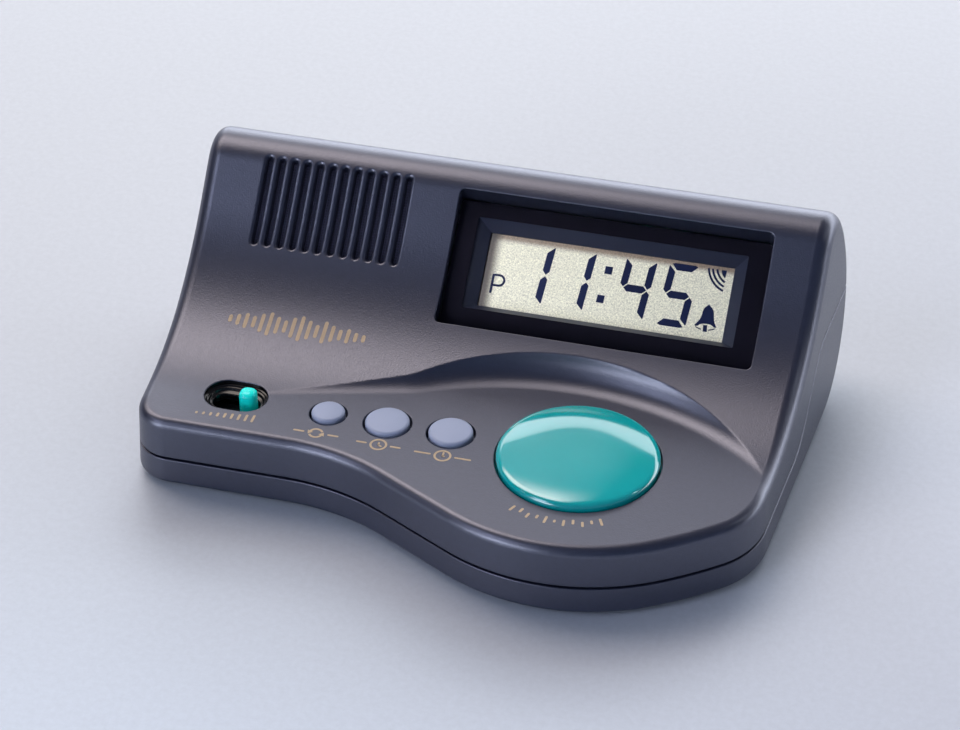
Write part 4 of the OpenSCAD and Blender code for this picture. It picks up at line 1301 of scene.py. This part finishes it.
# bell: body, lip and clapper
bell = [(41.62, -1.28), (41.2, -1.72), (40.86, -2.1), (40.66, -2.6), (40.6, -3.4), (40.5, -4.0), (40.28, -4.62), (39.9, -5.2), (39.45, -5.78), (39.62, -5.98), (40.12, -5.86), (40.5, -5.5), (41.1, -5.28), (41.9, -5.22), (42.6, -5.3), (43.05, -5.5), (43.3, -5.72), (43.7, -5.78), (43.82, -5.6), (43.42, -5.0), (43.16, -4.4), (43.0, -3.7), (42.86, -2.9), (42.7, -2.4), (42.36, -1.95), (41.95, -1.6)]
ink.append(np.array(bell))
ink.append(np.array([(39.6, -6.12), (40.2, -6.42), (40.9, -6.58), (40.9, -6.36), (40.3, -6.22), (39.85, -6.04)]))
ink.append(np.array([(43.75, -5.95), (43.2, -6.3), (42.35, -6.55), (42.35, -6.33), (43.05, -6.12), (43.5, -5.9)]))
ink.append(np.array([(41.2, -5.55), (42.0, -5.48), (42.12, -6.85), (41.3, -6.86)]))
signs = slab("display_signs", ink, on_lcd, 0.01, 0.05, [INK], "case", 1.5)


# ---------------------------------------------------------------- underside pieces
def door_piece():
    B = Build()
    y0, y1 = 6.85, 32.4
    sa = S5 - TR * math.asin((y1 - TC[0]) / TR)
    sb = S5 + TC[0] - y0
    lp = round_rect(-9.72, sa, 40.32, sb, 0.7, 4, 1.6)
    inn = grow(lp, -0.3)
    g = np.array([(x, s) for s in np.arange(sa + 1.5, sb - 1, 2.2) for x in np.arange(-8, 39.5, 3.0)])
    g = g[inside(inn, g)]
    g = g[far_from(inn, g, 0.8)]
    dom = np.concatenate([inn, g])
    tri = fill([inn], g)
    P, N = base_point(dom[:, 0], dom[:, 1]), np.stack([np.zeros(len(dom)), prof(dom[:, 1])[2], prof(dom[:, 1])[3]], 1)
    io = B.add(P, N)
    Q = P.copy()
    Q[:, 2] = 2.0
    ii = B.add(Q, (0, 0, 1))
    for t in tri:
        B.face(io[t])
        B.face(ii[t][::-1])
    n = len(lp)
    tang = np.roll(lp, -1, 0) - np.roll(lp, 1, 0)
    tang /= np.linalg.norm(tang, axis=1)[:, None]
    outw = np.stack([tang[:, 1], tang[:, 0], np.zeros(n)], 1)
    prev = io[:n]
    for k in range(1, 4):
        ph = math.pi / 2 * k / 3
        lk = grow(lp, -0.3 * (1 - math.sin(ph)))
        p = base_point(lk[:, 0], lk[:, 1]) - N[:n] * (0.3 * (1 - math.cos(ph)))
        nx = B.add(p, N[:n] * math.cos(ph) + outw * math.sin(ph))
        B.strip(prev, nx, closed=True)
        prev = nx
    p = base_point(lp[:, 0], lp[:, 1])
    p[:, 2] = 1.95
    nx = B.add(p, outw)
    B.strip(prev, nx, closed=True)
    B.strip(nx, ii[:n], closed=True)
    return B.make("door_panel", [CASE], "battery_door")


door = door_piece()
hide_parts("battery_door")
ribs = []
for i in range(5):
    ribs.append(bar(9.0, 0, 21.6, 0, 0.8))


def on_door(lp, h):
    s = S5 - (lp[:, 1] - TC[0])
    p = base_point(lp[:, 0], s)
    q = prof(s)
    return p + np.stack([np.zeros(len(lp)), q[2], q[3]], 1) * h


grip = slab("door_grip", [np.stack([r[:, 0], r[:, 1] + 21.5 + 1.8 * i], 1) for i, r in enumerate(ribs)], on_door, -0.1, 0.28, [CASE], "battery_door", 1.2)


def tray():
    """Cell bay: an upside-down box with open bottom."""
    x0, x1, y0, y1 = BAY
    def rows(e, z):
        return flat(round_rect(x0 - e, y0 - e, x1 + e, y1 + e, 0.4, 3, 500), z)
    return stack("cell_bay", [rows(0, 13.0), rows(0, 1.85), rows(1.2, 1.85), rows(1.2, 14.0)], [CASE], "case", (True, True), 40)


bay = tray()

# ---------------------------------------------------------------- stage, light, camera
def floor_material():
    m, nt, out = nodes_of("floor_pale")
    b = nt.nodes.new("ShaderNodeBsdfPrincipled")
    nt.links.new(b.outputs["BSDF"], out.inputs["Surface"])
    tc = nt.nodes.new("ShaderNodeTexCoord").outputs["Object"]
    mp = nt.nodes.new("ShaderNodeMapping")
    mp.inputs["Rotation"].default_value = (0, 0, rad(45))
    nt.links.new(tc, mp.inputs["Vector"])
    sx = nt.nodes.new("ShaderNodeSeparateXYZ")
    nt.links.new(mp.outputs["Vector"], sx.inputs[0])
    # painted light fall-off: the floor colour runs diagonally from paler to darker and bluer
    painted_falloff = nt.nodes.new("ShaderNodeMapRange")
    painted_falloff.interpolation_type = "SMOOTHSTEP"
    painted_falloff.inputs["From Min"].default_value = -0.16
    painted_falloff.inputs["From Max"].default_value = 0.22
    nt.links.new(sx.outputs["X"], painted_falloff.inputs["Value"])
    grain = ramp(nt, noise(nt, tc, 700.0, 4.0, 0.7), (0.94, 0.94, 0.94), (1.0, 1.0, 1.0), 0.35, 0.65)
    mul = nt.nodes.new("ShaderNodeMixRGB")
    mul.blend_type = "MULTIPLY"
    mul.inputs["Fac"].default_value = 1.0
    nt.links.new(ramp(nt, painted_falloff.outputs["Result"], (0.55, 0.58, 0.625), (0.505, 0.55, 0.64), 0.0, 1.0), mul.inputs["Color1"])
    nt.links.new(grain, mul.inputs["Color2"])
    # painted pool of light: the floor colour is made up to about a fifth brighter in a round patch in front of the
    # case, fading out between 6 and 17 cm from its centre
    far = nt.nodes.new("ShaderNodeVectorMath")
    far.operation = "DISTANCE"
    far.inputs[1].default_value = (-0.04, -0.15, 0)
    nt.links.new(tc, far.inputs[0])
    painted_light_pool = nt.nodes.new("ShaderNodeMixRGB")
    painted_light_pool.blend_type = "MULTIPLY"
    painted_light_pool.inputs["Fac"].default_value = 1.0
    nt.links.new(mul.outputs["Color"], painted_light_pool.inputs["Color1"])
    nt.links.new(ramp(nt, far.outputs["Value"], (1.16, 1.21, 1.24), (1.0, 1.0, 1.0), 0.06, 0.17), painted_light_pool.inputs["Color2"])
    nt.links.new(painted_light_pool.outputs["Color"], b.inputs["Base Color"])
    b.inputs["Roughness"].default_value = 0.42
    b.inputs["Specular IOR Level"].default_value = 0.5
    return m


fm = bpy.data.meshes.new("studio_floor")
fm.from_pydata([(-3, -3, 0), (3, -3, 0), (3, 3, 0), (-3, 3, 0)], [], [(0, 1, 2, 3)])
fm.materials.append(floor_material())
fl = bpy.data.objects.new("studio_floor", fm)
bpy.context.scene.collection.objects.link(fl)


def area(name, loc, target, size, power, col):
    d = bpy.data.lights.new(name, "AREA")
    d.shape = "RECTANGLE"
    d.size, d.size_y = size
    d.energy = power
    d.color = col
    o = bpy.data.objects.new(name, d)
    o.location = loc
    o.rotation_mode = "QUATERNION"
    o.rotation_quaternion = (Vector(target) - Vector(loc)).to_track_quat("-Z", "Y")
    bpy.context.scene.collection.objects.link(o)
    return o


area("key_left", (-0.84, -0.34, 0.72), (0, 0, 0.02), (0.10, 0.10), 0.12, (0.97, 0.99, 1.0))
area("side_right", (0.78, 0.14, 0.62), (0, 0, 0.02), (0.08, 0.08), 0.2, (0.90, 0.95, 1.0))
back = area("back_soft", (-0.15, 0.85, 0.75), (0, 0, 0.02), (0.9, 0.5), 6.6, (0.98, 0.99, 1.0))
back.visible_glossy = False
d = bpy.data.lights.new("display_snoot", "SPOT")
d.energy, d.spot_size, d.spot_blend, d.shadow_soft_size = 0.48, rad(46), 0.4, 0.006
o = bpy.data.objects.new("display_snoot", d)
aim = Vector((0.0205, 0.0199, 0.0306))
o.location = aim + Vector((-0.55, -0.45, 0.70)).normalized() * 0.15
o.rotation_mode = "QUATERNION"
o.rotation_quaternion = (aim - o.location).to_track_quat("-Z", "Y")
bpy.context.scene.collection.objects.link(o)
lit = bpy.data.collections.new("display_lit")
for piece in (signs, bev):
    lit.objects.link(piece)
lit.objects.link(frame["nodes"]["lcd_panel"])
o.light_linking.receiver_collection = lit

# surroundings: pale backdrop, a large soft panel overhead to the left, dimmer room in front
w = bpy.data.worlds.new("studio")
bpy.context.scene.world = w
w.use_nodes = True
wt = w.node_tree
bg = wt.nodes["Background"]
bg.inputs["Strength"].default_value = 1.85
wd = wt.nodes.new("ShaderNodeTexCoord").outputs["Generated"]
sep = wt.nodes.new("ShaderNodeSeparateXYZ")
wt.links.new(wd, sep.inputs[0])


def wmath(op, a, b):
    n = wt.nodes.new("ShaderNodeMath")
    n.operation = op
    for k, v in enumerate((a, b)):
        if isinstance(v, float):
            n.inputs[k].default_value = v
        else:
            wt.links.new(v, n.inputs[k])
    return n.outputs[0]


def wstep(val, lo, hi):
    """Soft step, 0 at lo and 1 at hi."""
    n = wt.nodes.new("ShaderNodeMapRange")
    n.interpolation_type = "SMOOTHSTEP"
    n.inputs["From Min"].default_value = min(lo, hi)
    n.inputs["From Max"].default_value = max(lo, hi)
    n.inputs["To Min"].default_value = 0.0 if lo < hi else 1.0
    n.inputs["To Max"].default_value = 1.0 if lo < hi else 0.0
    wt.links.new(val, n.inputs["Value"])
    return n.outputs["Result"]


def wpanel(a0, a1, a2, a3, x0, x1, x2, x3):
    """Soft-edged panel: rises a0-a1 and falls a2-a3 in angle over the table, the same in sideways direction x."""
    up = wmath("MULTIPLY", wstep(turn, a0 / 180, a1 / 180), wstep(turn, a3 / 180, a2 / 180))
    side = wmath("MULTIPLY", wstep(sep.outputs["X"], x0, x1), wstep(sep.outputs["X"], x3, x2))
    return wmath("MULTIPLY", up, side)


def wadd(col, fac, light):
    n = wt.nodes.new("ShaderNodeMixRGB")
    n.blend_type = "ADD"
    n.inputs["Color2"].default_value = (*light, 1)
    wt.links.new(fac, n.inputs["Fac"])
    wt.links.new(col, n.inputs["Color1"])
    return n.outputs["Color"]


# angle over the table as a share of a half turn: 0 is the horizon behind, 0.5 overhead, 1 the horizon in front
turn = wmath("MULTIPLY", wmath("ARCTAN2", sep.outputs["Z"], sep.outputs["Y"]), 1 / math.pi)
sky = wt.nodes.new("ShaderNodeValToRGB")
wt.links.new(turn, sky.inputs["Fac"])
SKY = [(0, (1.7, 1.8, 2.0)), (13, (2.2, 2.3, 2.5)), (20, (2.0, 2.07, 2.2)), (24, (1.35, 1.37, 1.42)), (36.0, (1.22, 1.23, 1.28)), (36.5, (0.03, 0.03, 0.035)), (60, (0.05, 0.05, 0.06)),
       (85, (0.045, 0.045, 0.055)), (100, (0.03, 0.035, 0.05)), (120, (0.04, 0.05, 0.08)), (145, (0.045, 0.06, 0.095)), (180, (0.06, 0.08, 0.13))]
el = sky.color_ramp.elements
for i, (a, c) in enumerate(SKY):
    e = el[i] if i < 2 else el.new(a / 180)
    e.position = a / 180
    e.color = (*c, 1)
flag = wt.nodes.new("ShaderNodeMixRGB")
flag.blend_type = "MULTIPLY"
flag.inputs["Color2"].default_value = (0.12, 0.12, 0.13, 1)
wt.links.new(wstep(sep.outputs["X"], -0.42, -0.66), flag.inputs["Fac"])
wt.links.new(sky.outputs["Color"], flag.inputs["Color1"])
col = wadd(flag.outputs["Color"], wpanel(36.6, 37.2, 46, 60, -0.7, -0.5, -0.22, -0.05), (0.24, 0.24, 0.245))
col = wadd(col, wpanel(46, 58, 76, 90, -0.85, -0.60, -0.22, -0.06), (2.35, 2.05, 1.88))
col = wadd(col, wpanel(152, 160, 176, 180, -0.80, -0.66, -0.40, -0.24), (3.2, 3.35, 3.8))
col = wadd(col, wpanel(112, 124, 140, 152, -0.68, -0.56, -0.46, -0.33), (1.7, 1.8, 2.25))
wt.links.new(col, bg.inputs["Color"])

cam = bpy.data.cameras.new("camera")
cam.sensor_fit = "HORIZONTAL"
cam.sensor_width = 36.0
cam.lens = 112.5
cam.clip_start, cam.clip_end = 0.01, 10
co = bpy.data.objects.new("camera", cam)
tgt, dv = Vector((-2.27, 11.90, 10.45)) * MM, Vector((-0.2053, 0.7772, -0.5948)).normalized()
co.location = tgt - dv * 0.6
co.rotation_mode = "QUATERNION"
co.rotation_quaternion = dv.to_track_quat("-Z", "Y")
bpy.context.scene.collection.objects.link(co)
bpy.context.scene.camera = co
bpy.context.scene.view_settings.view_transform = "Standard"
